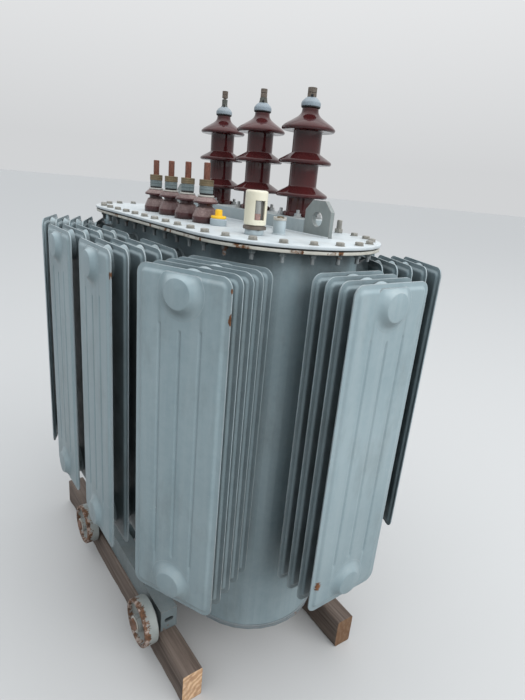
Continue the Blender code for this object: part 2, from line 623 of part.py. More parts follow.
def make_fittings():
    base = COVER_TOP + GAP
    x, y = GAUGE_PLACE
    hex_top = GAUGE_NECK_HEIGHT + GAUGE_HEX_HEIGHT
    turned("gauge_base", [(0.0, hex_top), (GAUGE_HEX_RADIUS, hex_top),
                          (GAUGE_HEX_RADIUS, GAUGE_NECK_HEIGHT), (GAUGE_NECK_RADIUS, GAUGE_NECK_HEIGHT),
                          (GAUGE_NECK_RADIUS, 0.0), (0.0, 0.0)], "terminal_metal", FITTING_STEPS,
           (x, y, base))
    gauge_bottom = base + hex_top + GAP
    gauge = turned("oil_gauge", [(0.0, GAUGE_HEIGHT), (GAUGE_RADIUS - GAUGE_ROUNDING, GAUGE_HEIGHT),
                                 (GAUGE_RADIUS, GAUGE_HEIGHT - GAUGE_ROUNDING), (GAUGE_RADIUS, 0.0),
                                 (0.0, 0.0)], "cream_plastic", GAUGE_STEPS, (x, y, gauge_bottom))
    window = bmesh.new()
    add_box(window, (GAUGE_RADIUS - GAUGE_WINDOW_DEPTH, -GAUGE_WINDOW_WIDTH / 2, GAUGE_WINDOW_BOTTOM),
            (GAUGE_RADIUS + GAUGE_WINDOW_DEPTH, GAUGE_WINDOW_WIDTH / 2,
             GAUGE_WINDOW_BOTTOM + GAUGE_WINDOW_HEIGHT))
    cutter = add_cutter("oil_gauge_window", window)
    cutter.location = gauge.location
    cutter.rotation_euler = (0.0, 0.0, math.radians(GAUGE_WINDOW_TURN))
    add_boolean(gauge, cutter, "DIFFERENCE")
    x, y = FILLER_PLACE
    ring_top = FILLER_HEIGHT + FILLER_RING_HEIGHT
    lid_top = ring_top + FILLER_LID_HEIGHT
    turned("filler_pipe", [(0.0, lid_top), (FILLER_LID_RADIUS, lid_top), (FILLER_LID_RADIUS, ring_top),
                           (FILLER_RING_RADIUS, ring_top), (FILLER_RING_RADIUS, FILLER_HEIGHT),
                           (FILLER_RADIUS, FILLER_HEIGHT), (FILLER_RADIUS, 0.0), (0.0, 0.0)],
           "paint", FITTING_STEPS, (x, y, base))
    x, y = POCKET_PLACE
    turned("thermometer_pocket", [(0.0, POCKET_HEIGHT), (POCKET_RADIUS, POCKET_HEIGHT),
                                  (POCKET_RADIUS, 0.0), (0.0, 0.0)], "paint", FITTING_STEPS,
           (x, y, base))
    turned("pocket_cap", [(0.0, POCKET_CAP_HEIGHT),
                          (POCKET_CAP_RADIUS - POCKET_CAP_ROUNDING, POCKET_CAP_HEIGHT),
                          (POCKET_CAP_RADIUS, POCKET_CAP_HEIGHT - POCKET_CAP_ROUNDING),
                          (POCKET_CAP_RADIUS, POCKET_FLANGE_HEIGHT),
                          (POCKET_FLANGE_RADIUS, POCKET_FLANGE_HEIGHT),
                          (POCKET_FLANGE_RADIUS, 0.0), (0.0, 0.0)], "yellow_plastic", FITTING_STEPS,
           (x, y, base + POCKET_HEIGHT + GAP))


def make_lug(name, side):
    """A flat lug with cut upper corners and a round hole, standing along the box."""
    bm = bmesh.new()
    base = COVER_TOP + GAP
    x = side * LUG_X
    verts = add_box(bm, (x - LUG_LENGTH / 2, LUG_Y - LUG_THICKNESS / 2, base),
                    (x + LUG_LENGTH / 2, LUG_Y + LUG_THICKNESS / 2, base + LUG_HEIGHT))
    round_corners(bm, verts, 1, LUG_CORNER, 1, above=base + LUG_HEIGHT / 2)
    part = add_part(name, bm, "paint")
    hole = bmesh.new()
    z = base + LUG_HEIGHT - LUG_HOLE_DROP
    add_cylinder(hole, LUG_HOLE_RADIUS, (x, LUG_Y - LUG_THICKNESS, z),
                 (x, LUG_Y + LUG_THICKNESS, z), LUG_HOLE_SEGMENTS)
    add_boolean(part, add_cutter(name + "_hole", hole), "DIFFERENCE")


make_timbers()
make_beam("underframe_beam_lv", -1)
make_beam("underframe_beam_hv", 1)
make_cross_member("cross_member_near", CROSS_MEMBER_X)
make_cross_member("cross_member_far", -CROSS_MEMBER_X)
for end_name, end in (("near", 1), ("far", -1)):
    for side_name, side in (("lv", -1), ("hv", 1)):
        make_roller(f"roller_{end_name}_{side_name}", end * AXLE_X, side)
make_tank()
make_cover()
make_radiators()
make_hv_box()
make_hv_bushings()
make_lv_bushings()
make_fittings()
make_lug("lifting_lug_near", 1)
make_lug("lifting_lug_far", -1)
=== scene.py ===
import json
import math

import bmesh
import bpy
from mathutils import Matrix, Vector
from mathutils import noise as field
from mathutils.geometry import interpolate_bezier


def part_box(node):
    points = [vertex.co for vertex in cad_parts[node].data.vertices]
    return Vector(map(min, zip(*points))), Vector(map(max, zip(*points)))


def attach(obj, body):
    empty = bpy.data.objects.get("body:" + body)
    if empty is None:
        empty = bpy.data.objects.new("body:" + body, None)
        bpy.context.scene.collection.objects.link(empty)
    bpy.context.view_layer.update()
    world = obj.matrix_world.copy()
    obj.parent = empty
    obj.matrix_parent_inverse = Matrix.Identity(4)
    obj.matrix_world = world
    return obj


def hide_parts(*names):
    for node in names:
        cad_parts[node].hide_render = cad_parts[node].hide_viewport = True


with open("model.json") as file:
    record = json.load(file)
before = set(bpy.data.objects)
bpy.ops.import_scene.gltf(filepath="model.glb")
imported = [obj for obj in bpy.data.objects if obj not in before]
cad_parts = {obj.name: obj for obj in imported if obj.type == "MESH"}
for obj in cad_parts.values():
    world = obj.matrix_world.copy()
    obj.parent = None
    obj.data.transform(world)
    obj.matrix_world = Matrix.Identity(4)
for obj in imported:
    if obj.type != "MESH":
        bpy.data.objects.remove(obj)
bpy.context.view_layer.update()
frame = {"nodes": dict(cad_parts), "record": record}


def points(*tenths, out=0.0, up=0.0):
    """Profile points from radius and height in turn, in tenths of a millimetre from a starting point."""
    metres = [number / 10000 for number in tenths]
    return [(out + radius, up + height) for radius, height in zip(metres[::2], metres[1::2])]


# Camera, in metres and degrees, with the focal length in pixels of the 525 by 700 photograph
CAMERA_PLACE = Vector((1.3224, -0.808, 1.3869))
CAMERA_AZIMUTH = 52.3226
CAMERA_PITCH = 18.61
CAMERA_ROLL = 5.2778
FOCAL_PIXELS = 494.92
PHOTO_HEIGHT = 700
SENSOR_LENGTH = 36.0

# Sizes read from the solids
COVER_LOW, COVER_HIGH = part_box("cover_plate")
FLANGE_LOW, FLANGE_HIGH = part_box("tank_flange")
GASKET_LOW, GASKET_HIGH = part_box("cover_gasket")
END_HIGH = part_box("tank_end_near")[1]
BOTTOM_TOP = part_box("tank_bottom")[1].z
BOX_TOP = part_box("hv_box")[1].z
BEAM_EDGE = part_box("underframe_beam_hv")[1].y
COVER_RADIUS = COVER_HIGH.y
ARC_CENTRE = COVER_HIGH.x - COVER_RADIUS
TANK_RADIUS = END_HIGH.y
COVER_TOP = COVER_HIGH.z
FOOT_GAP = 0.0003         # keeps the foot of a piece clear of the sheet below
COVER_FOOT = COVER_TOP + FOOT_GAP
OVAL_STEPS = 144          # a multiple of four, so that no corner lies on the middle line

# Radiators
RADIATOR_ANGLE = 64.2     # of the outer end radiators, from the X axis
SIDE_RADIATOR_X = 0.1473
RADIATOR_BOTTOM = 0.422
PANEL_HEIGHT = 0.7975
PANEL_WIDTH = 0.225
PANEL_PITCH = 0.0401
PANEL_CORNER = 0.024
PANEL_SEAM = 0.003
PANEL_RIM = 0.009
PANEL_BODY = 0.012
PANEL_SHOULDER = points(10, 2, 20, 12, 20, 16, 20, 11, 25, 4, 30, 0)  # successive insets: across and up
FIRST_PANEL = 0.0616
ANGLED_FIRST_PANEL = 0.0416
BOSS_INSETS = (0.053, 0.047)   # of the lower and upper boss, from the panel's end
BOSS_STEPS = 56
BOSS_SHAPE = points(560, 5, 560, 58, 535, 61, 510, 66, 485, 73, 460, 83, 435, 97, 410, 115, 385, 136,
                    360, 158, 338, 178, 320, 193, 311, 199, 304, 200)
BOSS_REACH = 0.0375            # of the flare towards the panel's own end
CHANNELS = points(-500, 1120, 0, 1220, 500, 1120)  # place across, ends to the panel's edge
CHANNEL_HALF = 0.0056
CHANNEL_DEPTH = 0.0028
CHANNEL_LINES = (0.0, 0.0013, 0.0026, 0.0039, 0.0052, 0.0066)
CHANNEL_TAPER = 0.007

# High-voltage bushings
HV_X = (-0.1925, 0.0215, 0.2355)
HV_Y = 0.116
HV_HEIGHT = 0.273
HV_SHAFT = 0.038
HV_SHED = 0.071
HV_SHED_LEVELS = (0.0557, 0.1407, 0.2224)
HV_SHED_RISE = 0.022
HV_STUD_TOPS = (0.072, 0.062, 0.048)  # above the porcelain, far to near
HV_COLLARS = (                         # (radius, height) of the collar above each cap, far to near
    points(128, 225, 112, 256, 94, 285, 86, 315, 86, 440, 91, 448, 91, 462, 82, 470),
    points(132, 225, 124, 262, 112, 310, 105, 350, 105, 374, 98, 382),
    points(136, 215, 128, 240, 122, 252))
HV_KNURLS = ((0.009, 0.0516, 0.06), (0.0094, 0.0386, 0.05), (0.0118, 0.0256, 0.035))
CLAMP_SPREAD = 0.0368

# Low-voltage bushings
LV_X = (-0.2025, -0.0975, 0.0075, 0.1125)
LV_Y = -0.112
LV_HEIGHT = 0.067

# Fittings on the cover
GAUGE_PLACE = (0.355, -0.118)
GAUGE_RADIUS = 0.0261
GAUGE_HEIGHT = 0.077
GAUGE_FOOT = 0.0223       # neck and hexagon under the gauge
WINDOW_TURN = -11.5
WINDOW_HALF = 0.012
WINDOW_LOW = 0.012
WINDOW_HIGH = 0.055
WINDOW_DEPTH = 0.011
FILLER_PLACE = (0.341, -0.033)
POCKET_PLACE = (0.173, -0.106)

# Rollers
ROLLER_X = 0.2555
ROLLER_Y = 0.3395
ROLLER_Z = 0.125
AXLE_WASHER_Y = 0.3626
ROLLER_STEPS = 72
ROLLER_SHAPE = points(138, 220, 240, 220, 250, 211, 251, 85, 262, 60, 285, 50, 560, 50, 580, 60,
                      590, 85, 594, 190, 604, 208, 630, 210, 676, 208, 692, 200, 699, 184, 700, 140,
                      700, 70, 700, 0, 700, -70, 700, -140, 699, -184, 692, -200, 676, -208, 604, -208,
                      594, -190, 590, -85, 580, -60, 560, -50, 285, -50, 262, -60, 251, -85, 250, -355,
                      240, -364, 138, -365)

# Bolts round the cover
BOLT_COUNT = 40
BOLT_PHASE = 0.3625       # of one spacing, along the low-voltage side from its far end
BOLT_INSET = 0.0235
BOLT_HEX = 0.0085         # half the width across the flats
BOLT_HEAD = 0.0062
BOLT_SHANK = 0.0055
BOLT_NUT = 0.0085
BOLT_TAIL = 0.014
WASHER_RADIUS = 0.0107
WASHER_HEIGHT = 0.0016
EARTH_BOLT = 20           # this one ends in a stud above the cover

# Timbers: which side, seed of its unevenness, degrees turned, place of its middle
TIMBERS = (("lv", 3.0, 0.0, (-0.066, -0.282)), ("hv", 11.0, -3.0, (0.031, 0.2406)))
TIMBER_HALF = (0.53, 0.031, 0.05)
TIMBER_SLICES = 96
TIMBER_CORNER = 0.006     # how wide the broken edges are

SPOT_STRETCH = 0.55       # of heights, so that the spots below stand upright

# Where rust has broken through the paint: place and radius
RUST_SPOTS = (
    (0.689, -0.095, 0.5, 0.013), (0.689, -0.101, 0.59, 0.004), (0.584, -0.318, 1.14, 0.009),
    (0.5825, -0.3185, 1.194, 0.004), (0.5576, -0.031, 1.255, 0.005), (0.553, -0.061, 1.255, 0.004),
    (0.53, -0.115, 1.255, 0.004), (0.338, -0.2515, 1.255, 0.005), (0.193, -0.2536, 1.255, 0.005),
    (0.074, -0.2536, 1.255, 0.006), (0.255, -0.425, 1.165, 0.008), (-0.689, 0.097, 0.51, 0.013),
    (0.048, 0.425, 0.47, 0.011), (-0.26, 0.425, 1.11, 0.009), (-0.584, 0.318, 0.56, 0.011),
    (-0.31, 0.25, 1.255, 0.008),
)

# Studio
SKY_POWER = 30.0
END_POWER = 940.0
SKY_STRENGTH = 1.0
SKY_LOW = (0.07, 0.08, 0.095)
SKY_HIGH = (1.2, 1.25, 1.3)
BACKDROP = (0.64, 0.65, 0.66)
BACKDROP_TOP = (0.96, 0.97, 0.98)
FLOOR_SEEN = (0.53, 0.53, 0.525)
FLOOR_BELOW = (0.15, 0.145, 0.135)


# Shader helpers

class Graph:
    """A node tree, with short ways to add and wire its nodes."""

    def __init__(self, tree):
        self.tree = tree

    def put(self, value, socket):
        """Wire an output into a socket, or set the socket to a plain number or colour."""
        if isinstance(value, bpy.types.NodeSocket):
            self.tree.links.new(value, socket)
        elif socket.type == "RGBA":
            socket.default_value = (*value, 1.0)
        else:
            socket.default_value = value

    def add(self, kind, values=None, **settings):
        """Add a shader node with its own settings, fill its sockets, and give back its outputs."""
        made = self.tree.nodes.new(f"ShaderNode{kind}")
        for key, value in settings.items():
            setattr(made, key, value)
        for key, value in (values or {}).items():
            self.put(value, made.inputs[key])
        return made.outputs

    def place(self):
        return self.add("TexCoord")["Object"]

    def split(self, vector):
        return self.add("SeparateXYZ", {"Vector": vector})

    def facing(self, axis):
        """How far the surface faces along an axis."""
        return self.split(self.add("NewGeometry")["Normal"])[axis]

    def mapped(self, vector, **settings):
        """A coordinate that is moved, turned or scaled."""
        return self.add("Mapping", {"Vector": vector, **settings})["Vector"]

    def noise(self, vector, scale, detail=4.0, roughness=0.55, distortion=0.0):
        return self.add("TexNoise", {"Vector": vector, "Scale": scale, "Detail": detail,
                                     "Roughness": roughness, "Distortion": distortion})["Fac"]

    def steps(self, value, low, high, bottom=0.0, top=1.0):
        """Bring a value from the range low to high into another range, and clamp it there."""
        return self.add("MapRange", {"Value": value, "From Min": low, "From Max": high,
                                     "To Min": bottom, "To Max": top}, clamp=True)["Result"]

    def math(self, operation, total, *others):
        for other in others or (0.0,):
            total = self.add("Math", {0: total, 1: other}, operation=operation)["Value"]
        return total

    def plus(self, *values):
        return self.math("ADD", *values)

    def minus(self, *values):
        return self.math("SUBTRACT", *values)

    def times(self, *values):
        return self.math("MULTIPLY", *values)

    def most(self, *values):
        return self.math("MAXIMUM", *values)

    def blend(self, mask, first, second):
        return self.add("Mix", {0: mask, 6: first, 7: second}, data_type="RGBA", blend_type="MIX")[2]

    def use(self, group, **values):
        return self.add("Group", values, node_tree=group)

    def mask(self, group, **values):
        return self.use(group, **values)["Mask"]


def new_group(name, numbers, *results):
    """The graph of a new shader group, with its inputs, its results and the place on the object."""
    graph = Graph(bpy.data.node_groups.new(name, "ShaderNodeTree"))
    for label, default in numbers.items():
        socket = graph.tree.interface.new_socket(name=label, in_out="INPUT", socket_type="NodeSocketFloat")
        socket.default_value = default
    for label in results:
        kind = "NodeSocketColor" if label == "Colour" else "NodeSocketFloat"
        graph.tree.interface.new_socket(name=label, in_out="OUTPUT", socket_type=kind)
    taken = graph.tree.nodes.new("NodeGroupInput").outputs
    given = graph.tree.nodes.new("NodeGroupOutput").inputs
    return graph, taken, given, graph.place()


def worn_and_highlit_edges_group():
    """Mask of corners and edges where paint or glaze has worn through, broken up by noise, and an unbroken
    line along every edge for a painted highlight.
    """
    graph, taken, given, place = new_group("worn_and_highlit_edges", {"Reach": 0.002, "Spread": 0.5}, "Mask", "Line")
    rounded = graph.add("Bevel", {"Radius": taken["Reach"]}, samples=4)["Normal"]
    flat = graph.add("NewGeometry")["Normal"]
    along = graph.add("VectorMath", {0: rounded, 1: flat}, operation="DOT_PRODUCT")["Value"]
    edge = graph.steps(graph.minus(1.0, along), 0.02, 0.22)
    # The unbroken line along the edges, used for a painted highlight.
    graph.put(edge, given["Line"])
    limit = graph.plus(graph.minus(1.0, taken["Spread"]), 0.32)
    patchy = graph.plus(graph.noise(place, 34.0, 6.0, 0.62), graph.times(edge, 0.55))
    kept = graph.steps(graph.minus(patchy, limit), 0.0, 0.06)
    graph.put(graph.times(kept, edge), given["Mask"])
    return graph.tree


def mottle_group():
    """Slow and fine unevenness of a painted or cast surface, and its upright runs and stains."""
    graph, taken, given, place = new_group("mottle", {"Size": 3.0}, "Slow", "Fine", "Runs", "Stains")
    scaled = graph.add("VectorMath", {0: place, "Scale": taken["Size"]}, operation="SCALE")["Vector"]
    for label, vector, scale, detail, roughness, low, high in (
            ("Slow", scaled, 1.0, 3.0, 0.5, 0.3, 0.7), ("Fine", place, 55.0, 7.0, 0.65, 0.3, 0.7),
            ("Runs", graph.mapped(place, Scale=(30.0, 30.0, 1.6)), 1.0, 5.0, 0.6, 0.42, 0.72),
            ("Stains", graph.mapped(place, Scale=(11.0, 11.0, 4.0)), 1.0, 7.0, 0.66, 0.5, 0.72)):
        graph.put(graph.steps(graph.noise(vector, scale, detail, roughness), low, high), given[label])
    return graph.tree


def dust_group():
    """Dust that settles on what faces up, thicker in patches."""
    graph, taken, given, place = new_group("dust", {"Amount": 0.5}, "Mask")
    up = graph.steps(graph.facing("Z"), 0.15, 0.9)
    patchy = graph.steps(graph.noise(place, 9.0, 8.0, 0.68), 0.3, 0.72)
    speckle = graph.steps(graph.noise(place, 260.0, 3.0, 0.6), 0.48, 0.62, 0.55, 1.0)
    graph.put(graph.times(up, patchy, speckle, taken["Amount"]), given["Mask"])
    return graph.tree


def scratches_group():
    """Thin bright scratches in three directions, kept to a few patches."""
    graph, taken, given, place = new_group("scratches", {"Amount": 0.5}, "Mask")
    lines = []
    for turn, size in (((0.3, 0.9, 0.4), (9.0, 260.0, 260.0)), ((1.2, 0.2, 1.1), (280.0, 11.0, 240.0)),
                       ((0.7, 1.4, 0.2), (12.0, 310.0, 250.0))):
        turned = graph.mapped(place, Rotation=turn, Scale=size)
        lines.append(graph.steps(graph.noise(turned, 1.0, 1.0, 0.4), 0.74, 0.79))
    patches = graph.steps(graph.noise(place, 5.0, 2.0), 0.5, 0.62)
    graph.put(graph.times(graph.most(*lines), patches, taken["Amount"]), given["Mask"])
    return graph.tree


def rust_group():
    """Colour of rust, and a mask of scattered blooms."""
    graph, taken, given, place = new_group("rust", {"Amount": 0.3}, "Colour", "Mask")
    ramp = graph.tree.nodes.new("ShaderNodeValToRGB")
    dark, bright = ramp.color_ramp.elements
    dark.position, dark.color = 0.32, (0.048, 0.023, 0.014, 1.0)
    bright.position, bright.color = 0.7, (0.27, 0.118, 0.05, 1.0)
    graph.put(graph.noise(place, 90.0, 6.0, 0.7), ramp.inputs["Fac"])
    graph.put(ramp.outputs["Color"], given["Colour"])
    limit = graph.minus(0.8, graph.times(taken["Amount"], 0.3))
    blooms = graph.minus(graph.noise(place, 16.0, 8.0, 0.62), limit)
    graph.put(graph.steps(blooms, 0.0, 0.05), given["Mask"])
    return graph.tree


def shade_and_dirt_group():
    """Mask of painted shade in recesses and narrow gaps, and of a darkening towards the ground that is partly
    painted shade and partly splashed dirt.
    """
    graph, taken, given, place = new_group("shade_and_dirt", {"Reach": 0.05}, "Mask")
    # Painted shade in recesses and narrow gaps, where little light reaches.
    clear = graph.add("AmbientOcclusion", {"Distance": taken["Reach"]}, samples=4)["AO"]
    shut = graph.steps(clear, 0.32, 0.78, 1.0, 0.0)
    # Darker towards the ground: partly painted shade from the dim ground, partly splashed dirt.
    low_shade_and_splash = graph.steps(graph.split(place)["Z"], 0.1, 0.85, 0.5, 0.0)
    patchy = graph.steps(graph.noise(place, 12.0, 6.0), 0.25, 0.75, 0.65, 1.0)
    graph.put(graph.times(graph.most(shut, low_shade_and_splash), patchy), given["Mask"])
    return graph.tree


def rust_spots_group():
    """Ragged rust spots at the places where the paint has failed, each with its own radius."""
    graph, taken, given, place = new_group("rust_spots", {"Ragged": 0.8}, "Mask")
    uneven = graph.steps(graph.noise(place, 70.0, 7.0, 0.7), 0.3, 0.7, 0.0, 1.6)
    ragged = graph.times(uneven, taken["Ragged"])
    upright = graph.mapped(place, Scale=(1.0, 1.0, SPOT_STRETCH))
    spots = []
    for x, y, z, radius in RUST_SPOTS:
        middle = (x, y, SPOT_STRETCH * z)
        away = graph.add("VectorMath", {0: upright, 1: middle}, operation="DISTANCE")["Value"]
        share = graph.plus(graph.math("DIVIDE", away, radius), ragged)
        spots.append(graph.steps(share, 1.0, 1.12, 1.0, 0.0))
    graph.put(graph.most(*spots), given["Mask"])
    return graph.tree


WORN_AND_HIGHLIT_EDGES = worn_and_highlit_edges_group()
SHADE_AND_DIRT = shade_and_dirt_group()
RUST_SPOTTED = rust_spots_group()
MOTTLE = mottle_group()
DUST = dust_group()
SCRATCHES = scratches_group()
RUST = rust_group()


class Finish(Graph):
    """A material in the making: its shader, its unevenness, and the colour that each layer covers."""

    def __init__(self, name, colour, roughness, size=0.0, **sockets):
        self.material = bpy.data.materials.new(name)
        self.material.use_nodes = True
        super().__init__(self.material.node_tree)
        self.shader = self.tree.nodes["Principled BSDF"].inputs
        self.shader["Roughness"].default_value = roughness
        for key, value in sockets.items():
            self.shader[key.replace("_", " ")].default_value = value
        self.colour = colour
        if size:
            self.uneven = self.use(MOTTLE, Size=size)

    def cover(self, mask, colour, strength=None):
        """Lay a colour over what is there, as far as the mask and the strength say."""
        if strength is not None:
            mask = self.times(mask, strength)
        self.colour = self.blend(mask, self.colour, colour)

    def dull(self, low, high, more=None):
        """Roughness that follows the fine unevenness, with more where it's given."""
        rough = self.steps(self.uneven["Fine"], 0.0, 1.0, low, high)
        self.put(rough if more is None else self.plus(rough, more), self.shader["Roughness"])

    def done(self, *relief):
        """Wire the colour, then soft corners with a relief (height, strength, distance, rounding)."""
        self.put(self.colour, self.shader["Base Color"])
        if relief:
            height, strength, distance, rounding = relief
            corners = self.add("Bevel", {"Radius": rounding}, samples=4)["Normal"]
            raised = self.add("Bump", {"Strength": strength, "Distance": distance, "Height": height,
                                       "Normal": corners})["Normal"]
            self.put(raised, self.shader["Normal"])
        return self.material


def painted_steel(name, deep, pale, chalk, dust, rust, wear, roughness=0.4, shade_and_dirt=0.92, shine=0.26):
    """Brushed-on enamel over steel: uneven tone, dust, scratches, rust where it has chipped, a painted
    highlight along its edges and painted shade in its gaps.
    """
    skin = Finish(name, deep, roughness, 3.2, Specular_IOR_Level=shine, Coat_Weight=0.04,
                  Coat_Roughness=0.22)
    skin.cover(skin.uneven["Slow"], pale)
    skin.cover(skin.uneven["Fine"], chalk, 0.26)
    skin.cover(skin.uneven["Runs"], chalk, 0.3)
    skin.cover(skin.uneven["Stains"], (0.12, 0.125, 0.115), 0.3)
    settled = skin.mask(DUST, Amount=dust)
    skin.cover(settled, (0.56, 0.55, 0.51))
    skin.cover(skin.mask(SCRATCHES, Amount=0.55), (0.5, 0.55, 0.58))
    edges = skin.use(WORN_AND_HIGHLIT_EDGES, Reach=0.0024, Spread=wear)
    corroded = skin.use(RUST, Amount=rust)
    chipped = skin.times(edges["Mask"], skin.steps(skin.uneven["Slow"], 0.35, 0.8))
    # Pale edges: worn paint where chipped, and an unbroken painted highlight along every edge.
    rubbed_and_highlit = skin.most(skin.times(edges["Line"], 0.48), skin.times(edges["Mask"], 0.8))
    skin.cover(rubbed_and_highlit, (0.56, 0.61, 0.63))
    skin.cover(chipped, corroded["Colour"], 0.8)
    # Painted shade in gaps and recesses, and darker towards the ground: partly painted shade, partly dirt.
    skin.cover(skin.mask(SHADE_AND_DIRT, Reach=0.08), (0.035, 0.043, 0.045), shade_and_dirt)
    failed = skin.most(corroded["Mask"], skin.mask(RUST_SPOTTED, Ragged=0.45))
    skin.cover(failed, corroded["Colour"])
    skin.dull(roughness - 0.08, roughness + 0.1, skin.times(skin.most(settled, failed, chipped), 0.35))
    height = skin.minus(skin.times(skin.uneven["Fine"], 0.35), skin.times(chipped, 0.6))
    return skin.done(height, 0.35, 0.0008, 0.0016)


def glazed_porcelain(name, deep, thin, dust, smoothest, dullest):
    """Red-brown glaze of uneven depth, paler where it thins on the lips, with settled dust."""
    skin = Finish(name, deep, 0.1, 14.0, Specular_IOR_Level=0.42, Coat_Weight=0.06, Coat_Roughness=0.04,
                  IOR=1.5)
    skin.cover(skin.uneven["Slow"], thin)
    skin.cover(skin.mask(WORN_AND_HIGHLIT_EDGES, Reach=0.003, Spread=0.8), (0.2, 0.085, 0.065), 0.45)
    settled = skin.mask(DUST, Amount=dust)
    skin.cover(settled, (0.36, 0.27, 0.25))
    # Painted shade in the recesses under the sheds.
    skin.cover(skin.mask(SHADE_AND_DIRT, Reach=0.03), (0.014, 0.008, 0.007), 0.9)
    skin.dull(smoothest, dullest, skin.times(settled, 0.3))
    return skin.done(skin.uneven["Fine"], 0.06, 0.0006, 0.0012)


def roller_enamel():
    """Pale enamel that has come off along the outer edge of the tread, down to rust and primer."""
    skin = Finish("worn_roller_enamel", (0.3, 0.35, 0.345), 0.55, 18.0, Coat_Weight=0.05)
    skin.cover(skin.uneven["Slow"], (0.42, 0.46, 0.445))
    skin.cover(skin.uneven["Fine"], (0.52, 0.53, 0.5), 0.35)
    place = skin.place()
    across = skin.split(place)
    outer = skin.steps(skin.math("ABSOLUTE", across["Y"]), ROLLER_Y - 0.006, ROLLER_Y + 0.016, 0.0, 0.29)
    along = skin.minus(skin.math("ABSOLUTE", across["X"]), ROLLER_X)
    rise = skin.minus(across["Z"], ROLLER_Z)
    reach = skin.math("SQRT", skin.plus(skin.times(along, along), skin.times(rise, rise)))
    outer = skin.minus(outer, skin.steps(reach, 0.05, 0.062, 0.18, 0.0))
    bare = skin.steps(skin.plus(skin.noise(place, 48.0, 8.0, 0.68, 0.4), outer), 0.66, 0.69)
    corroded = skin.use(RUST, Amount=0.2)
    patches = skin.steps(skin.noise(place, 75.0, 5.0, 0.6), 0.5, 0.6)
    skin.cover(bare, skin.blend(patches, corroded["Colour"], (0.56, 0.45, 0.39)))
    skin.cover(skin.mask(WORN_AND_HIGHLIT_EDGES, Reach=0.0022, Spread=0.6), corroded["Colour"], 0.7)
    # Painted shade in the recess round the hub, and darker near the ground: partly painted shade, partly
    # dirt.
    skin.cover(skin.mask(SHADE_AND_DIRT, Reach=0.04), (0.07, 0.055, 0.045), 0.8)
    skin.put(skin.steps(bare, 0.0, 1.0, 0.48, 0.85), skin.shader["Roughness"])
    return skin.done(skin.minus(skin.times(skin.uneven["Fine"], 0.5), bare), 0.6, 0.0012, 0.002)


def bare_metal(name, dark, light, stain, roughness, metallic, rust=0.25, dust=0.0):
    """Unpainted metal with a mottled, stained surface, paler with dust on top."""
    skin = Finish(name, dark, roughness, 30.0, Metallic=metallic)
    skin.cover(skin.uneven["Fine"], light)
    skin.cover(skin.uneven["Slow"], stain, 0.55)
    skin.cover(skin.mask(DUST, Amount=dust), (0.62, 0.62, 0.6))
    corroded = skin.use(RUST, Amount=rust)
    skin.cover(corroded["Mask"], corroded["Colour"])
    skin.dull(roughness - 0.1, roughness + 0.15)
    skin.put(skin.steps(corroded["Mask"], 0.0, 1.0, metallic, 0.0), skin.shader["Metallic"])
    return skin.done(skin.uneven["Fine"], 0.3, 0.0005, 0.0008)


def moulded_plastic(name, base, faded, roughness):
    skin = Finish(name, base, roughness, 22.0)
    skin.cover(skin.uneven["Slow"], faded)
    skin.cover(skin.mask(DUST, Amount=0.22), (0.45, 0.4, 0.33))
    skin.cover(skin.mask(SCRATCHES, Amount=0.35), (0.3, 0.27, 0.22))
    skin.dull(roughness - 0.05, roughness + 0.12)
    return skin.done(skin.uneven["Fine"], 0.1, 0.0004, 0.0014)


def tube_glass():
    skin = Finish("gauge_glass", (0.86, 0.88, 0.86), 0.06, 30.0, Transmission_Weight=0.9, IOR=1.45)
    skin.cover(skin.uneven["Fine"], (0.94, 0.95, 0.94))
    return skin.done()


def gasket_rubber():
    skin = Finish("gasket_rubber", (0.01, 0.011, 0.012), 0.78, 40.0)
    skin.cover(skin.uneven["Fine"], (0.035, 0.035, 0.034))
    return skin.done(skin.uneven["Fine"], 0.4, 0.0005, 0.0006)


def weathered_timber():
    """Grey-brown timber: grain along X, dirt in the grain, and orange-brown sawn ends."""
    skin = Finish("weathered_timber", (0.07, 0.05, 0.04), 0.85)
    place = skin.place()
    grain = skin.noise(skin.mapped(place, Scale=(3.0, 85.0, 85.0)), 1.0, 8.0, 0.68, 0.35)
    streaks = skin.noise(skin.mapped(place, Scale=(1.6, 26.0, 26.0)), 1.0, 4.0, 0.6)
    skin.cover(skin.steps(grain, 0.34, 0.68), (0.235, 0.19, 0.16))
    skin.cover(skin.steps(streaks, 0.4, 0.66, 0.0, 0.55), (0.105, 0.07, 0.054))
    heart = skin.mapped(place, Location=(0.0, 0.21, 0.03))
    rings = skin.add("TexWave", {"Vector": heart, "Scale": 17.0, "Distortion": 6.0, "Detail": 5.0,
                                 "Detail Scale": 2.4}, wave_type="RINGS", rings_direction="X")["Fac"]
    sawn = skin.blend(rings, (0.5, 0.3, 0.165), (0.72, 0.51, 0.33))
    dirty = skin.steps(skin.noise(place, 38.0, 7.0, 0.7), 0.46, 0.7)
    sawn = skin.blend(dirty, sawn, (0.33, 0.19, 0.115))
    # The sawn end on the high-voltage side is darkened with a painted shadow.
    painted_shadow_side = skin.steps(skin.split(place)["Y"], 0.0, 0.1, 0.0, 0.82)
    sawn = skin.blend(painted_shadow_side, sawn, (0.085, 0.04, 0.02))
    end = skin.steps(skin.math("ABSOLUTE", skin.facing("X")), 0.8, 0.9)
    skin.cover(end, sawn)
    return skin.done(grain, 0.7, 0.0016, 0.004)


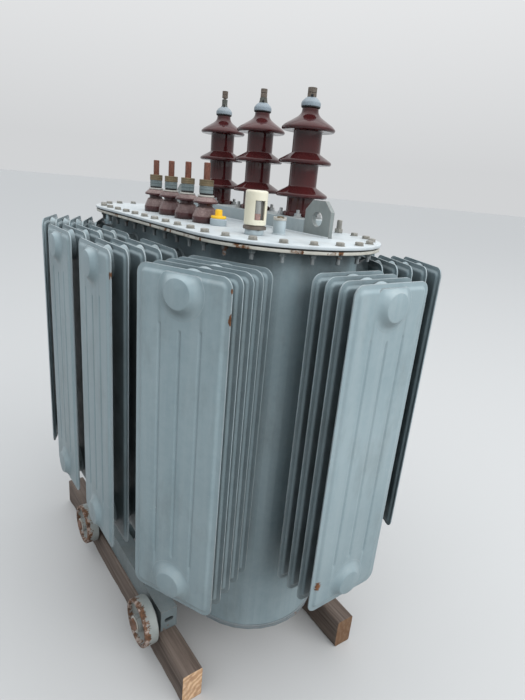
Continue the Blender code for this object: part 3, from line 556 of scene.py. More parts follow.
PAINT = painted_steel(
    "blue_grey_enamel", (0.235, 0.32, 0.352), (0.3, 0.388, 0.42), (0.41, 0.485, 0.51), 0.42, 0.16, 0.42)
COVER_PAINT = painted_steel(
    "dusty_cover_enamel", (0.47, 0.54, 0.575), (0.56, 0.615, 0.645), (0.64, 0.665, 0.665),
    0.55, 0.24, 0.5, 0.38, 0.35, 0.5)
BOX_PAINT = painted_steel(
    "box_enamel", (0.3, 0.365, 0.385), (0.36, 0.42, 0.44), (0.46, 0.505, 0.515), 0.9, 0.2, 0.6, 0.38, 0.4)
FITTING_PAINT = painted_steel(
    "fitting_enamel", (0.36, 0.435, 0.47), (0.42, 0.5, 0.535), (0.5, 0.56, 0.58),
    0.4, 0.16, 0.45, 0.38, 0.45)
LUG_PAINT = painted_steel(
    "lug_enamel", (0.155, 0.186, 0.186), (0.208, 0.236, 0.232), (0.33, 0.356, 0.347),
    0.4, 0.15, 0.6, 0.42, 0.6)
NUT_PAINT = painted_steel(
    "nut_enamel", (0.15, 0.19, 0.205), (0.24, 0.28, 0.29), (0.38, 0.4, 0.39), 0.3, 0.7, 0.8, 0.55, 0.5)
RIM_PAINT = painted_steel(
    "cream_rim_enamel", (0.44, 0.43, 0.37), (0.6, 0.585, 0.52), (0.7, 0.69, 0.64),
    0.3, 0.85, 0.6, 0.45, 0.1)
PORCELAIN = glazed_porcelain(
    "red_brown_glaze", (0.036, 0.0056, 0.0066), (0.062, 0.01, 0.0108), 0.06, 0.05, 0.12)
RUBBER = gasket_rubber()
BRASS = bare_metal(
    "tarnished_brass", (0.125, 0.095, 0.052), (0.255, 0.195, 0.115), (0.16, 0.135, 0.095), 0.5, 0.55, 0.1)
COPPER = bare_metal(
    "copper_stud", (0.14, 0.052, 0.036), (0.3, 0.122, 0.084), (0.21, 0.115, 0.085), 0.48, 0.55, 0.1)
ZINC = bare_metal(
    "galvanised_bolts", (0.22, 0.215, 0.195), (0.42, 0.415, 0.385), (0.27, 0.245, 0.2),
    0.55, 0.4, 0.42, 0.8)
TARNISHED = bare_metal(
    "tarnished_stud", (0.1, 0.085, 0.07), (0.245, 0.215, 0.185), (0.165, 0.125, 0.1), 0.46, 0.55, 0.1)
CAP_PAINT = painted_steel(
    "cap_enamel", (0.21, 0.265, 0.31), (0.27, 0.33, 0.375), (0.36, 0.41, 0.44), 0.3, 0.12, 0.35, shine=0.4)
SLEEVE_PAINT = painted_steel(
    "sleeve_enamel", (0.105, 0.14, 0.146), (0.15, 0.19, 0.195), (0.23, 0.265, 0.265), 0.25, 0.14, 0.35)
BEAM_PAINT = painted_steel(
    "beam_enamel", (0.168, 0.22, 0.235), (0.22, 0.274, 0.29), (0.29, 0.33, 0.34), 0.4, 0.45, 0.55)
CREAM = moulded_plastic("cream_gauge_case", (0.76, 0.73, 0.6), (0.7, 0.66, 0.51), 0.38)
YELLOW = moulded_plastic("yellow_cap", (0.86, 0.53, 0.02), (0.8, 0.47, 0.02), 0.42)
TIMBER = weathered_timber()
ROLLER_PAINT = roller_enamel()
LIP_PAINT = painted_steel(
    "rusty_lip_enamel", (0.15, 0.195, 0.22), (0.215, 0.265, 0.29), (0.33, 0.36, 0.365), 0.4, 0.7, 0.7)
DUSTY_PORCELAIN = glazed_porcelain(
    "dusty_porcelain", (0.05, 0.016, 0.018), (0.08, 0.032, 0.032), 1.7, 0.2, 0.32)
PALE_METAL = bare_metal(
    "pale_washers", (0.42, 0.42, 0.4), (0.66, 0.66, 0.63), (0.44, 0.4, 0.33), 0.45, 0.35, 0.3)
DARK_METAL = bare_metal(
    "dark_collar", (0.06, 0.072, 0.068), (0.15, 0.168, 0.155), (0.1, 0.09, 0.07), 0.5, 0.4, 0.2)
CLAMP_METAL = bare_metal(
    "painted_clamps", (0.3, 0.34, 0.36), (0.55, 0.58, 0.6), (0.36, 0.33, 0.28), 0.5, 0.3, 0.35)
RUSTY_STEEL = bare_metal(
    "rusty_nuts", (0.085, 0.04, 0.024), (0.25, 0.125, 0.07), (0.33, 0.23, 0.19), 0.72, 0.25, 0.75)
GREY_PLASTIC = moulded_plastic("grey_gauge_tube", (0.34, 0.345, 0.335), (0.44, 0.445, 0.43), 0.3)
# Dark sheet behind the gauge window: painted shade in its recess.
SHADED_WINDOW_BACK = moulded_plastic("shaded_gauge_back", (0.085, 0.083, 0.078), (0.14, 0.135, 0.125), 0.45)
RED_OIL = moulded_plastic("red_oil", (0.44, 0.19, 0.16), (0.54, 0.28, 0.24), 0.15)
GLASS = tube_glass()

FINISHES = {
    "paint": PAINT, "cover_paint": COVER_PAINT, "gasket_rubber": RUBBER, "porcelain": PORCELAIN,
    "terminal_metal": BRASS, "cap_metal": CAP_PAINT, "yellow_plastic": YELLOW,
    "cream_plastic": CREAM, "roller_steel": ROLLER_PAINT, "timber": TIMBER,
}


def finish_solids():
    """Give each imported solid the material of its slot."""
    for part in frame["record"]["subparts"]:
        mesh = frame["nodes"][part["node"]].data
        mesh.materials.clear()
        mesh.materials.append(FINISHES[part["material_slot"]])
    frame["nodes"]["tank_bottom"].data.materials[0] = LIP_PAINT
    frame["nodes"]["hv_box"].data.materials[0] = BOX_PAINT
    for end in ("near", "far"):
        frame["nodes"][f"lifting_lug_{end}"].data.materials[0] = LUG_PAINT
    for side in ("lv", "hv"):
        frame["nodes"][f"underframe_beam_{side}"].data.materials[0] = BEAM_PAINT


# Mesh helpers

def mesh_of(name, bm):
    mesh = bpy.data.meshes.new(name)
    bm.to_mesh(mesh)
    bm.free()
    return mesh


def add_object(name, data):
    made = bpy.data.objects.new(name, data)
    bpy.context.scene.collection.objects.link(made)
    return made


def add_piece(name, bm, material, slot, *nodes, body="root", smooth=35.0):
    """Turn a bmesh into a piece that rides on a body and stands for the solids that are named."""
    bmesh.ops.recalc_face_normals(bm, faces=bm.faces)
    mesh = mesh_of(name, bm)
    mesh.materials.append(material)
    mesh.shade_smooth()
    mesh.set_sharp_from_angle(angle=math.radians(smooth))
    piece = add_object(name, mesh)
    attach(piece, body)
    if nodes:
        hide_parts(*nodes)
    return piece


def add_turned(bm, profile, segments, matrix=Matrix.Identity(4), ring=False):
    """Spin (radius, height) points round the upright axis of a matrix, and give back the new vertices."""
    known = set(bm.verts)
    line = [bm.verts.new((radius, 0.0, height)) for radius, height in profile]
    edges = [bm.edges.new(pair) for pair in zip(line, line[1:])]
    if ring:
        edges.append(bm.edges.new((line[-1], line[0])))
    bmesh.ops.spin(bm, geom=line + edges, cent=(0.0, 0.0, 0.0), axis=(0.0, 0.0, 1.0),
                   angle=math.tau, steps=segments, use_merge=True)
    fresh = [vert for vert in bm.verts if vert not in known]
    bmesh.ops.remove_doubles(bm, verts=fresh, dist=0.000002)
    fresh = [vert for vert in bm.verts if vert not in known]
    bmesh.ops.transform(bm, matrix=matrix, verts=fresh)
    return fresh


def turned_piece(name, profile, segments, place, material, slot, *nodes, smooth=35.0):
    bm = bmesh.new()
    add_turned(bm, profile, segments, Matrix.Translation(place))
    return add_piece(name, bm, material, slot, *nodes, smooth=smooth)


def add_prism(bm, radius, bottom, top, sides, place, turn=0.0, edge=0.0):
    """An upright prism or cylinder with an optional chamfer, standing at a place."""
    matrix = (Matrix.Translation(Vector((place[0], place[1], (bottom + top) / 2)))
              @ Matrix.Rotation(turn, 4, "Z"))
    made = bmesh.ops.create_cone(bm, cap_ends=True, segments=sides, radius1=radius, radius2=radius,
                                 depth=top - bottom, matrix=matrix)
    if edge:
        rims = {rim for vert in made["verts"] for rim in vert.link_edges
                if abs(rim.verts[0].co.z - rim.verts[1].co.z) < 1e-6}
        bmesh.ops.bevel(bm, geom=list(rims), offset=edge, segments=1, profile=0.5,
                        affect="EDGES", material=-1)


def add_knurled(bm, radius, bottom, top, place, teeth=18, depth=0.001):
    """A round nut or stud length with upright grooves."""
    matrix = Matrix.Translation(Vector((place[0], place[1], (bottom + top) / 2)))
    made = bmesh.ops.create_cone(bm, cap_ends=True, segments=2 * teeth, radius1=radius, radius2=radius,
                                 depth=top - bottom, matrix=matrix)
    for vert in made["verts"]:
        x, y = vert.co.x - place[0], vert.co.y - place[1]
        if round(math.atan2(y, x) * teeth / math.pi) % 2:
            vert.co.x -= x / radius * depth
            vert.co.y -= y / radius * depth


def add_block(bm, low, high):
    low, high = Vector(low), Vector(high)
    matrix = Matrix.Translation((low + high) / 2) @ Matrix.Diagonal(high - low).to_4x4()
    return bmesh.ops.create_cube(bm, size=1.0, matrix=matrix)["verts"]


def threaded(radius, bottom, top, pitch=0.0022, depth=0.0007):
    """Profile points of a threaded length, from the bottom up, with a chamfered end on the axis."""
    profile = []
    count = max(2, round((top - bottom - 0.0012) / pitch))
    for turn in range(count):
        level = bottom + turn * pitch
        profile += [(radius - depth, level), (radius, level + pitch * 0.35), (radius, level + pitch * 0.6),
                    (radius - depth, level + pitch * 0.95)]
    return profile + [(radius - depth, top - 0.0008), (radius - depth - 0.001, top), (0.0, top)]


def curve(start, pull, reach, end, steps):
    """Points of a smooth profile from start to end, without the end."""
    knots = [Vector((*point, 0.0)) for point in (start, pull, reach, end)]
    return [(point.x, point.y) for point in interpolate_bezier(*knots, steps)[:-1]]


# Tank and cover

def spread_oval(verts):
    """Move the two halves of a round shape apart, to the centres of the tank's round ends."""
    for vert in verts:
        vert.co.x += math.copysign(ARC_CENTRE, vert.co.x)


def oval_plate(name, radius, hole, low, high, edge, material, slot, node):
    """A finely rounded oval plate, or a ring where it has a hole, with its rims softened."""
    bm = bmesh.new()
    matrix = Matrix.Translation((0.0, 0.0, low)) @ Matrix.Rotation(math.pi / OVAL_STEPS, 4, "Z")
    bmesh.ops.create_circle(bm, cap_ends=not hole, radius=radius, segments=OVAL_STEPS, matrix=matrix)
    if hole:
        bmesh.ops.create_circle(bm, cap_ends=False, radius=hole, segments=OVAL_STEPS, matrix=matrix)
        bmesh.ops.bridge_loops(bm, edges=bm.edges[:])
    spread_oval(bm.verts)
    raised = bmesh.ops.extrude_face_region(bm, geom=bm.faces[:])
    top = [item for item in raised["geom"] if isinstance(item, bmesh.types.BMVert)]
    bmesh.ops.translate(bm, verts=top, vec=(0.0, 0.0, high - low))
    rims = [rim for rim in bm.edges if abs(rim.verts[0].co.z - rim.verts[1].co.z) < 1e-6
            and rim.calc_face_angle(0.0) > 1.0]
    bmesh.ops.bevel(bm, geom=rims, offset=edge, segments=3, profile=0.5, affect="EDGES", material=-1)
    add_piece(name, bm, material, slot, node)


def oval_bead(name, radius, thickness, level, material, slot):
    """A weld bead that follows the tank's oval."""
    bm = bmesh.new()
    matrix = Matrix.Translation((radius, 0.0, level)) @ Matrix.Rotation(math.pi / 2, 4, "X")
    bead = bmesh.ops.create_circle(bm, cap_ends=False, radius=thickness, segments=10, matrix=matrix)
    half_step = Matrix.Rotation(math.pi / OVAL_STEPS, 3, "Z")
    bmesh.ops.rotate(bm, verts=bead["verts"], cent=(0.0, 0.0, 0.0), matrix=half_step)
    bmesh.ops.spin(bm, geom=bm.verts[:] + bm.edges[:], cent=(0.0, 0.0, 0.0), axis=(0.0, 0.0, 1.0),
                   angle=math.tau, steps=OVAL_STEPS, use_merge=True)
    spread_oval(bm.verts)
    add_piece(name, bm, material, slot, smooth=60.0)


def oval_point(along, radius):
    """Point at a distance along the oval of that radius, from its far low-voltage corner."""
    straight = 2 * ARC_CENTRE
    bend = math.pi * radius
    along %= 2 * (straight + bend)
    flip = 1.0
    if along >= straight + bend:
        along -= straight + bend
        flip = -1.0
    if along < straight:
        return Vector((flip * (along - ARC_CENTRE), -flip * radius, 0.0))
    angle = (along - straight) / radius - math.pi / 2
    return Vector((flip * (ARC_CENTRE + radius * math.cos(angle)), flip * radius * math.sin(angle), 0.0))


def cover_bolts():
    """Hexagon bolts through cover, gasket and flange, with washers and nuts."""
    radius = COVER_RADIUS - BOLT_INSET
    length = 4 * ARC_CENTRE + math.tau * radius
    corner = BOLT_HEX / math.cos(math.radians(30))
    top, under = COVER_TOP, FLANGE_LOW.z
    for number in range(BOLT_COUNT):
        bm = bmesh.new()
        place = oval_point((number + BOLT_PHASE) * length / BOLT_COUNT, radius)
        turn = number * 2.399
        add_prism(bm, WASHER_RADIUS, top, top + WASHER_HEIGHT, 24, place, 0.0, 0.0003)
        if number == EARTH_BOLT:
            add_prism(bm, 0.0125, top + WASHER_HEIGHT, top + 0.0115, 6, place, turn, 0.001)
            add_turned(bm, [(0.0, top), (0.0068, top)] + threaded(0.0078, top + 0.0115, top + 0.0355),
                       24, Matrix.Translation(place))
        else:
            head = top + WASHER_HEIGHT + BOLT_HEAD
            add_prism(bm, corner, top + WASHER_HEIGHT, head, 6, place, turn, 0.0009)
            add_prism(bm, BOLT_HEX * 0.86, head, head + 0.0004, 24, place)
        add_prism(bm, WASHER_RADIUS * 0.92, under - WASHER_HEIGHT, under, 24, place, 0.0, 0.0003)
        nut = under - WASHER_HEIGHT - BOLT_NUT
        add_prism(bm, corner * 0.88, nut, under - WASHER_HEIGHT, 6, place, turn + 0.7, 0.0009)
        tail = [(radius_, 2 * nut - level) for radius_, level in
                threaded(BOLT_SHANK * 0.9, nut, nut + BOLT_TAIL, 0.0017, 0.0006)]
        add_turned(bm, [(0.0, nut + 0.001)] + tail, 20, Matrix.Translation((place.x, place.y, 0.0)))
        bolt = add_piece(f"cover_bolt_{number + 1:02d}", bm, ZINC, "cover_paint")
        bolt.data.materials.append(NUT_PAINT)
        for face in bolt.data.polygons:
            face.material_index = int(face.center.z < under)


def make_cover():
    oval_plate("cover_sheet", COVER_RADIUS, 0.0, COVER_LOW.z, COVER_TOP, 0.0016, COVER_PAINT,
               "cover_paint", "cover_plate")
    oval_plate("cover_seal", GASKET_HIGH.y, TANK_RADIUS, GASKET_LOW.z, GASKET_HIGH.z, 0.0008, RUBBER,
               "gasket_rubber", "cover_gasket")
    oval_plate("tank_rim", FLANGE_HIGH.y, TANK_RADIUS - 0.004, FLANGE_LOW.z, FLANGE_HIGH.z, 0.0012,
               RIM_PAINT, "cover_paint", "tank_flange")
    oval_bead("rim_weld", TANK_RADIUS + 0.0008, 0.0034, FLANGE_LOW.z - 0.0006, PAINT, "paint")
    oval_bead("bottom_weld", TANK_RADIUS + 0.0006, 0.003, BOTTOM_TOP + 0.0006, LIP_PAINT, "paint")
    cover_bolts()


# Radiators

def cut_faces(bm, faces, place, normal):
    geom = set(faces)
    for face in faces:
        geom.update(face.edges)
        geom.update(face.verts)
    bmesh.ops.bisect_plane(bm, geom=list(geom), dist=0.000001, plane_co=place, plane_no=normal)


def pressed_panel(bm, x):
    """One panel across local X: two sheets seamed at a flat rim, each rising softly to a plateau."""
    sheet = add_block(bm, (x - PANEL_SEAM / 2, -PANEL_WIDTH / 2, 0.0),
                      (x + PANEL_SEAM / 2, PANEL_WIDTH / 2, PANEL_HEIGHT))
    corners = {edge for vert in sheet for edge in vert.link_edges
               if abs(edge.verts[0].co.x - edge.verts[1].co.x) > PANEL_SEAM / 2}
    bmesh.ops.bevel(bm, geom=list(corners), offset=PANEL_CORNER, segments=9, profile=0.5,
                    affect="EDGES", material=-1)
    faces = [face for face in bm.faces
             if abs(face.normal.x) > 0.9 and abs(face.calc_center_median().x - x) < PANEL_SEAM]
    bmesh.ops.inset_individual(bm, faces=faces, thickness=PANEL_RIM, depth=0.0)
    for across, up in PANEL_SHOULDER:
        bmesh.ops.inset_individual(bm, faces=faces, thickness=across, depth=up)


def press_channels(bm, level):
    """Press the long channels into the outermost plateau, with soft shoulders and tapered ends."""
    def plateau():
        return [face for face in bm.faces if all(vert.co.x > level - 1e-5 for vert in face.verts)]

    for middle, end in CHANNELS:
        for offset in CHANNEL_LINES:
            for sign in (1, -1) if offset else (1,):
                cut_faces(bm, plateau(), (0.0, middle + sign * offset, 0.0), (0.0, 1.0, 0.0))
    for end in sorted({end for _, end in CHANNELS}):
        for share in (0.0, 0.4, 1.0):
            z = end + share * CHANNEL_TAPER
            for height in (z, PANEL_HEIGHT - z):
                cut_faces(bm, plateau(), (0.0, 0.0, height), (0.0, 0.0, 1.0))
    for vert in bm.verts:
        if vert.co.x > level - 1e-5:
            for middle, end in CHANNELS:
                across = abs(vert.co.y - middle) / CHANNEL_HALF
                along = min(vert.co.z - end, PANEL_HEIGHT - end - vert.co.z) / CHANNEL_TAPER
                if across < 1.0 and along > 0.0:
                    press = 0.5 + 0.5 * math.cos(math.pi * across)
                    vert.co.x -= CHANNEL_DEPTH * press * min(1.0, along) ** 0.7


def narrow_flare(verts, middle):
    """Draw a boss's flare in where it nears the end of its panel, and leave its disc round."""
    disc, foot = BOSS_SHAPE[-1][0], BOSS_SHAPE[0][0]
    side = 1.0 if middle > PANEL_HEIGHT / 2 else -1.0
    for vert in verts:
        up = vert.co.z - middle
        radius = math.hypot(vert.co.y, up)
        if radius > disc and side * up > 0.0:
            reach = min(foot, BOSS_REACH * radius / (side * up))
            share = (disc + (radius - disc) * (reach - disc) / (foot - disc)) / radius
            vert.co.y *= share
            vert.co.z = middle + up * share


def radiator_shape(panels, first):
    """A whole radiator, with local X pointing away from the tank wall."""
    bm = bmesh.new()
    for index in range(panels):
        pressed_panel(bm, first + index * PANEL_PITCH)
    outer = first + (panels - 1) * PANEL_PITCH
    press_channels(bm, outer + PANEL_BODY / 2)
    for z in (BOSS_INSETS[0], PANEL_HEIGHT - BOSS_INSETS[1]):
        matrix = Matrix.Translation((0.0, 0.0, z)) @ Matrix.Rotation(math.pi / 2, 4, "Y")
        boss = [(radius, outer + x) for radius, x in BOSS_SHAPE]
        flare = add_turned(bm, [(0.0, outer + 0.0005)] + boss + [(0.0, outer + 0.02)],
                           BOSS_STEPS, matrix)
        narrow_flare(flare, z)
        for index in range(panels - 1):
            start = first + index * PANEL_PITCH + 0.0045
            half = points(435, 0, 425, 30, 400, 65, 372, 105, 352, 138, up=start)
            middle = start + PANEL_PITCH / 2 - 0.0045
            joint = points(362, -8, 362, 8, up=middle)
            back = [(radius, 2 * middle - x) for radius, x in reversed(half)]
            add_turned(bm, [(0.0, start)] + half + joint + back + [(0.0, back[-1][1])], 32, matrix)
        face = first - 0.0045
        pipe = points(0, -30, 385, -30, 378, 5, 352, 30, 332, 45)
        pipe += points(330, -150, 350, -105, 385, -62, 420, -28, 435, 0, 0, 0, up=face)
        add_turned(bm, pipe, 40, matrix)
    bmesh.ops.recalc_face_normals(bm, faces=bm.faces)
    return mesh_of("radiator_shape", bm)


def make_radiators():
    five = radiator_shape(5, FIRST_PANEL)
    four = radiator_shape(4, FIRST_PANEL)
    angled = radiator_shape(5, ANGLED_FIRST_PANEL)
    near = END_HIGH.x - TANK_RADIUS
    places = (
        ("near_lv", near, -RADIATOR_ANGLE, angled), ("near_end", near, 0.0, four),
        ("near_hv", near, RADIATOR_ANGLE, angled), ("side_lv_near", SIDE_RADIATOR_X, -90.0, five),
        ("side_lv_far", -SIDE_RADIATOR_X, -90.0, five), ("side_hv_near", SIDE_RADIATOR_X, 90.0, five),
        ("side_hv_far", -SIDE_RADIATOR_X, 90.0, five), ("far_lv", -near, RADIATOR_ANGLE - 180.0, angled),
        ("far_end", -near, 180.0, four), ("far_hv", -near, 180.0 - RADIATOR_ANGLE, angled))
    for name, x, degrees, shape in places:
        angle = math.radians(degrees)
        wall = Vector((x + TANK_RADIUS * math.cos(angle), TANK_RADIUS * math.sin(angle), RADIATOR_BOTTOM))
        bm = bmesh.new()
        bm.from_mesh(shape)
        bm.transform(Matrix.Translation(wall) @ Matrix.Rotation(angle, 4, "Z"))
        add_piece(f"panels_{name}", bm, PAINT, "paint", f"radiator_{name}", smooth=40.0)
    for shape in (five, four, angled):
        bpy.data.meshes.remove(shape)


# Bushings

def shed(level, rise):
    """A shed on the plain shaft, from its slope down round the lip to its underside."""
    return (points(0, 25, 6, 6, 22, -10, out=HV_SHAFT, up=level + rise)
            + points(-50, 62, -28, 46, -12, 30, -3, 14, 0, -2, -5, -22, -18, -40, -40, -56, -75, -60,
                     -110, -54, out=HV_SHED, up=level)
            + points(80, 0, 30, -4, 8, -16, 0, -40, out=HV_SHAFT, up=level - 0.0044))


def hv_bushings():
    """Glazed porcelains with a hollow-sloped top shed and two straight ones, caps and clamps."""
    top = HV_HEIGHT
    profile = points(0, 0, 198, 0, 210, -6, 215, -18, up=top)
    profile += curve(*points(216, -60, 224, -150, 290, -205, 400, -270, up=top), 14)
    profile += points(400, -270, 530, -350, up=top)
    profile.append((HV_SHED - 0.0062, HV_SHED_LEVELS[2] + 0.0084))
    profile += shed(HV_SHED_LEVELS[2], HV_SHED_RISE)[4:]
    for level in (HV_SHED_LEVELS[1], HV_SHED_LEVELS[0]):
        profile += shed(level, HV_SHED_RISE)
    profile += [(HV_SHAFT, 0.015)] + points(388, 128, 420, 120, 434, 113, 440, 98, 440, 0, 0, 0)
    cap = points(0, 0, 244, 0, 254, 10, 255, 22, 255, 95, 250, 112, 238, 132, 214, 166, 180, 202,
                 144, 232, 116, 250, 0, 250)
    for number, (x, height) in enumerate(zip(HV_X, HV_STUD_TOPS), 1):
        place = Vector((x, HV_Y, BOX_TOP + FOOT_GAP))
        turned_piece(f"hv_insulator_{number}", profile, 96, place, PORCELAIN, "porcelain",
                     f"hv_porcelain_{number}", smooth=50.0)
        place.z += top + FOOT_GAP
        seal = points(0, 0, 240, 0, 247, 6, 247, 19, 240, 26, 0, 26)
        turned_piece(f"hv_seal_{number}", seal, 48, place, RUBBER, "gasket_rubber")
        lifted = [(radius, 0.0024 + level * 0.92) for radius, level in cap]
        turned_piece(f"hv_cap_{number}", lifted, 64, place, CAP_PAINT, "cap_metal",
                     f"hv_terminal_{number}", smooth=50.0)
        collar = [(0.0, 0.0215)] + HV_COLLARS[number - 1]
        collar.append((0.0, collar[-1][1]))
        turned_piece(f"hv_collar_{number}", collar, 32, place, DARK_METAL, "cap_metal")
        radius, foot, split = HV_KNURLS[number - 1]
        bm = bmesh.new()
        add_prism(bm, radius * 0.55, place.z + foot - 0.006, place.z + height - 0.001, 16, place)
        for low, high in ((foot, split), (split + 0.0012, height - 0.0003)):
            add_knurled(bm, radius, place.z + low, place.z + high, place)
        add_piece(f"hv_stud_{number}", bm, TARNISHED, "terminal_metal", smooth=25.0)
        vent = bmesh.new()
        tilt = Matrix.Rotation(math.radians(-37.7), 4, "Z") @ Matrix.Rotation(math.radians(52.0), 4, "Y")
        bmesh.ops.create_cone(vent, cap_ends=True, segments=16, radius1=0.0028, radius2=0.0028, depth=0.004,
                              matrix=Matrix.Translation(place) @ Matrix.Translation((0.0, 0.0, 0.0176))
                              @ tilt @ Matrix.Translation((0.0, 0.0, 0.018)))
        add_piece(f"hv_vent_{number}", vent, RUBBER, "gasket_rubber")
        for label, side, reach in (("a", 1, 1), ("b", 1, -1), ("c", -1, 1), ("d", -1, -1)):
            bm = bmesh.new()
            foot = (x + side * CLAMP_SPREAD, HV_Y + reach * CLAMP_SPREAD)
            add_prism(bm, 0.0105, BOX_TOP, BOX_TOP + 0.003, 24, foot, 0.0, 0.0005)
            add_prism(bm, 0.0088, BOX_TOP + 0.003, BOX_TOP + 0.01, 6, foot, 0.6 + side, 0.0008)
            add_turned(bm, [(0.0, 0.0095)] + threaded(0.0048, 0.01, 0.019, 0.0016, 0.0005), 20,
                       Matrix.Translation((*foot, BOX_TOP)))
            add_piece(f"hv_clamp_{number}{label}", bm, CLAMP_METAL, "cover_paint")


def lv_bushings():
    """Brown porcelains with a spreading foot and one shed, under washer, seal, sleeve, ring and stud."""
    body = points(0, 670, 210, 670, 222, 664, 234, 655, 322, 572, 331, 562, 335, 550, 335, 524,
                  331, 514, 320, 508, 250, 502, 212, 494, 196, 476, 192, 448, 196, 424, 212, 408,
                  240, 398, 252, 388, 334, 186, 341, 174, 345, 160, 345, 14, 338, 0, 0, 0)
    washer = points(0, 0, 212, 0, 220, 8, 220, 36, 212, 45, 0, 45)
    seal = points(0, 40, 170, 42, 175, 50, 175, 86, 170, 92, 0, 92)
    sleeve = points(0, 90, 178, 90, 185, 96, 185, 150, 181, 156, 181, 164, 185, 170, 185, 226,
                    181, 232, 181, 240, 185, 246, 185, 270, 179, 276, 0, 276)
    ring = points(0, 276, 184, 276, 192, 284, 192, 322, 188, 328, 192, 334, 192, 374, 188, 380,
                  192, 386, 192, 424, 181, 437, 96, 437, 92, 430, 0, 430)
    stud = [(0.0, 0.042), (0.0083, 0.042)] + threaded(0.009, 0.0426, 0.0864, 0.0025)
    for number, x in enumerate(LV_X, 1):
        place = Vector((x, LV_Y, COVER_FOOT))
        turned_piece(f"lv_insulator_{number}", body, 72, place, DUSTY_PORCELAIN, "porcelain",
                     f"lv_porcelain_{number}", smooth=50.0)
        place.z += LV_HEIGHT + FOOT_GAP
        for label, profile, material, slot in (
                ("washer", washer, PALE_METAL, "terminal_metal"), ("seal", seal, RUBBER, "gasket_rubber"),
                ("sleeve", sleeve, SLEEVE_PAINT, "cap_metal"), ("ring", ring, BRASS, "terminal_metal"),
                ("stud", stud, COPPER, "terminal_metal")):
            turned_piece(f"lv_{label}_{number}", profile, 48, place, material, slot,
                         f"lv_terminal_{number}")


# Fittings on the cover

def oil_gauge():
    """Cream case on a hexagon nut, with a window that shows a glass tube of oil."""
    x, y = GAUGE_PLACE
    neck = points(0, 0, 224, 0, 224, 92, 218, 104, 224, 116, 0, 116)
    turned_piece("gauge_neck", neck, 48, (x, y, COVER_FOOT), FITTING_PAINT, "paint", "gauge_base")
    bm = bmesh.new()
    add_prism(bm, 0.0273, COVER_FOOT + 0.0116, COVER_FOOT + 0.0205, 6, (x, y), math.radians(20.0), 0.0014)
    add_prism(bm, 0.0236, COVER_FOOT + 0.0205, COVER_FOOT + 0.0222, 48, (x, y), 0.0, 0.0006)
    add_piece("gauge_nut", bm, TARNISHED, "terminal_metal", "gauge_base")

    bottom = COVER_FOOT + GAUGE_FOOT
    profile = [(0.0, 0.0)] + points(-12, 0, -2, 10, 0, 26, out=GAUGE_RADIUS)
    rim = points(0, -62, 0, -60, 0, -20, -20, 0, -60, 0, out=GAUGE_RADIUS, up=GAUGE_HEIGHT)
    profile += rim[:1] + curve(*rim[1:], 8) + rim[-1:] + [(0.0, GAUGE_HEIGHT)]
    bm = bmesh.new()
    add_turned(bm, profile, 64)
    for y_cut in (-WINDOW_HALF, WINDOW_HALF):
        cut_faces(bm, bm.faces[:], (0.0, y_cut, 0.0), (0.0, 1.0, 0.0))
    for z_cut in (WINDOW_LOW, WINDOW_HIGH):
        cut_faces(bm, bm.faces[:], (0.0, 0.0, z_cut), (0.0, 0.0, 1.0))
    pane = [face for face in bm.faces if face.calc_center_median().x > GAUGE_RADIUS * 0.5
            and abs(face.calc_center_median().y) < WINDOW_HALF
            and WINDOW_LOW < face.calc_center_median().z < WINDOW_HIGH]
    pushed = bmesh.ops.extrude_face_region(bm, geom=pane)
    for item in pushed["geom"]:
        if isinstance(item, bmesh.types.BMVert):
            item.co.x = GAUGE_RADIUS - WINDOW_DEPTH
    bmesh.ops.delete(bm, geom=[face for face in pane if face.is_valid], context="FACES_ONLY")
    turn = Matrix.Translation((x, y, bottom)) @ Matrix.Rotation(math.radians(WINDOW_TURN), 4, "Z")
    bm.transform(turn)
    add_piece("gauge_case", bm, CREAM, "cream_plastic", "oil_gauge")

    tube_x = GAUGE_RADIUS - WINDOW_DEPTH + 0.0015
    # The back behind the tube is a dark sheet that paints the shade in the window's recess.
    for label, radius, low, high, material in (
            ("glass", 0.0082, WINDOW_LOW, WINDOW_HIGH, GLASS),
            ("oil", 0.0074, WINDOW_LOW + 0.0005, WINDOW_LOW + 0.0145, RED_OIL),
            ("float", 0.0074, WINDOW_LOW + 0.0145, WINDOW_HIGH - 0.0005, GREY_PLASTIC),
            ("back", 0.0, WINDOW_LOW, WINDOW_HIGH, SHADED_WINDOW_BACK)):
        bm = bmesh.new()
        if radius:
            add_prism(bm, radius, low, high, 40, (tube_x, -0.0034), 0.0, 0.0004)
        else:
            back = GAUGE_RADIUS - WINDOW_DEPTH
            add_block(bm, (back - 0.0005, -WINDOW_HALF, low), (back + 0.001, WINDOW_HALF, high))
        bm.transform(turn)
        add_piece(f"gauge_{label}", bm, material, "cream_plastic")


def filler_pipe():
    """A short pipe with a castellated ring and a sunk lid."""
    x, y = FILLER_PLACE
    pipe = points(0, 0, 175, 0, 168, 16, 155, 26, 155, 330, 152, 340, 0, 340)
    turned_piece("filler_neck", pipe, 48, (x, y, COVER_FOOT), FITTING_PAINT, "paint", "filler_pipe")
    bm = bmesh.new()
    place = Matrix.Translation((x, y, COVER_FOOT))
    rim = points(112, 332, 158, 332, 165, 340, 165, 378, 158, 386, 125, 386, 112, 376)
    add_turned(bm, rim, 48, place, ring=True)
    for number in range(7):
        angle = math.tau * number / 7 + 0.35
        claw = (x + 0.0141 * math.cos(angle), y + 0.0141 * math.sin(angle))
        top = COVER_FOOT + 0.0408 + 0.0012 * math.sin(5 * angle)
        add_prism(bm, 0.003, COVER_FOOT + 0.038, top, 10, claw, angle, 0.0008)
    add_piece("filler_ring", bm, PALE_METAL, "cover_paint", "filler_pipe")
    lid = points(0, 430, 60, 428, 74, 420, 80, 400, 110, 392, 118, 380, 118, 340, 0, 340)
    turned_piece("filler_lid", lid, 40, (x, y, COVER_FOOT), BRASS, "cover_paint", "filler_pipe")


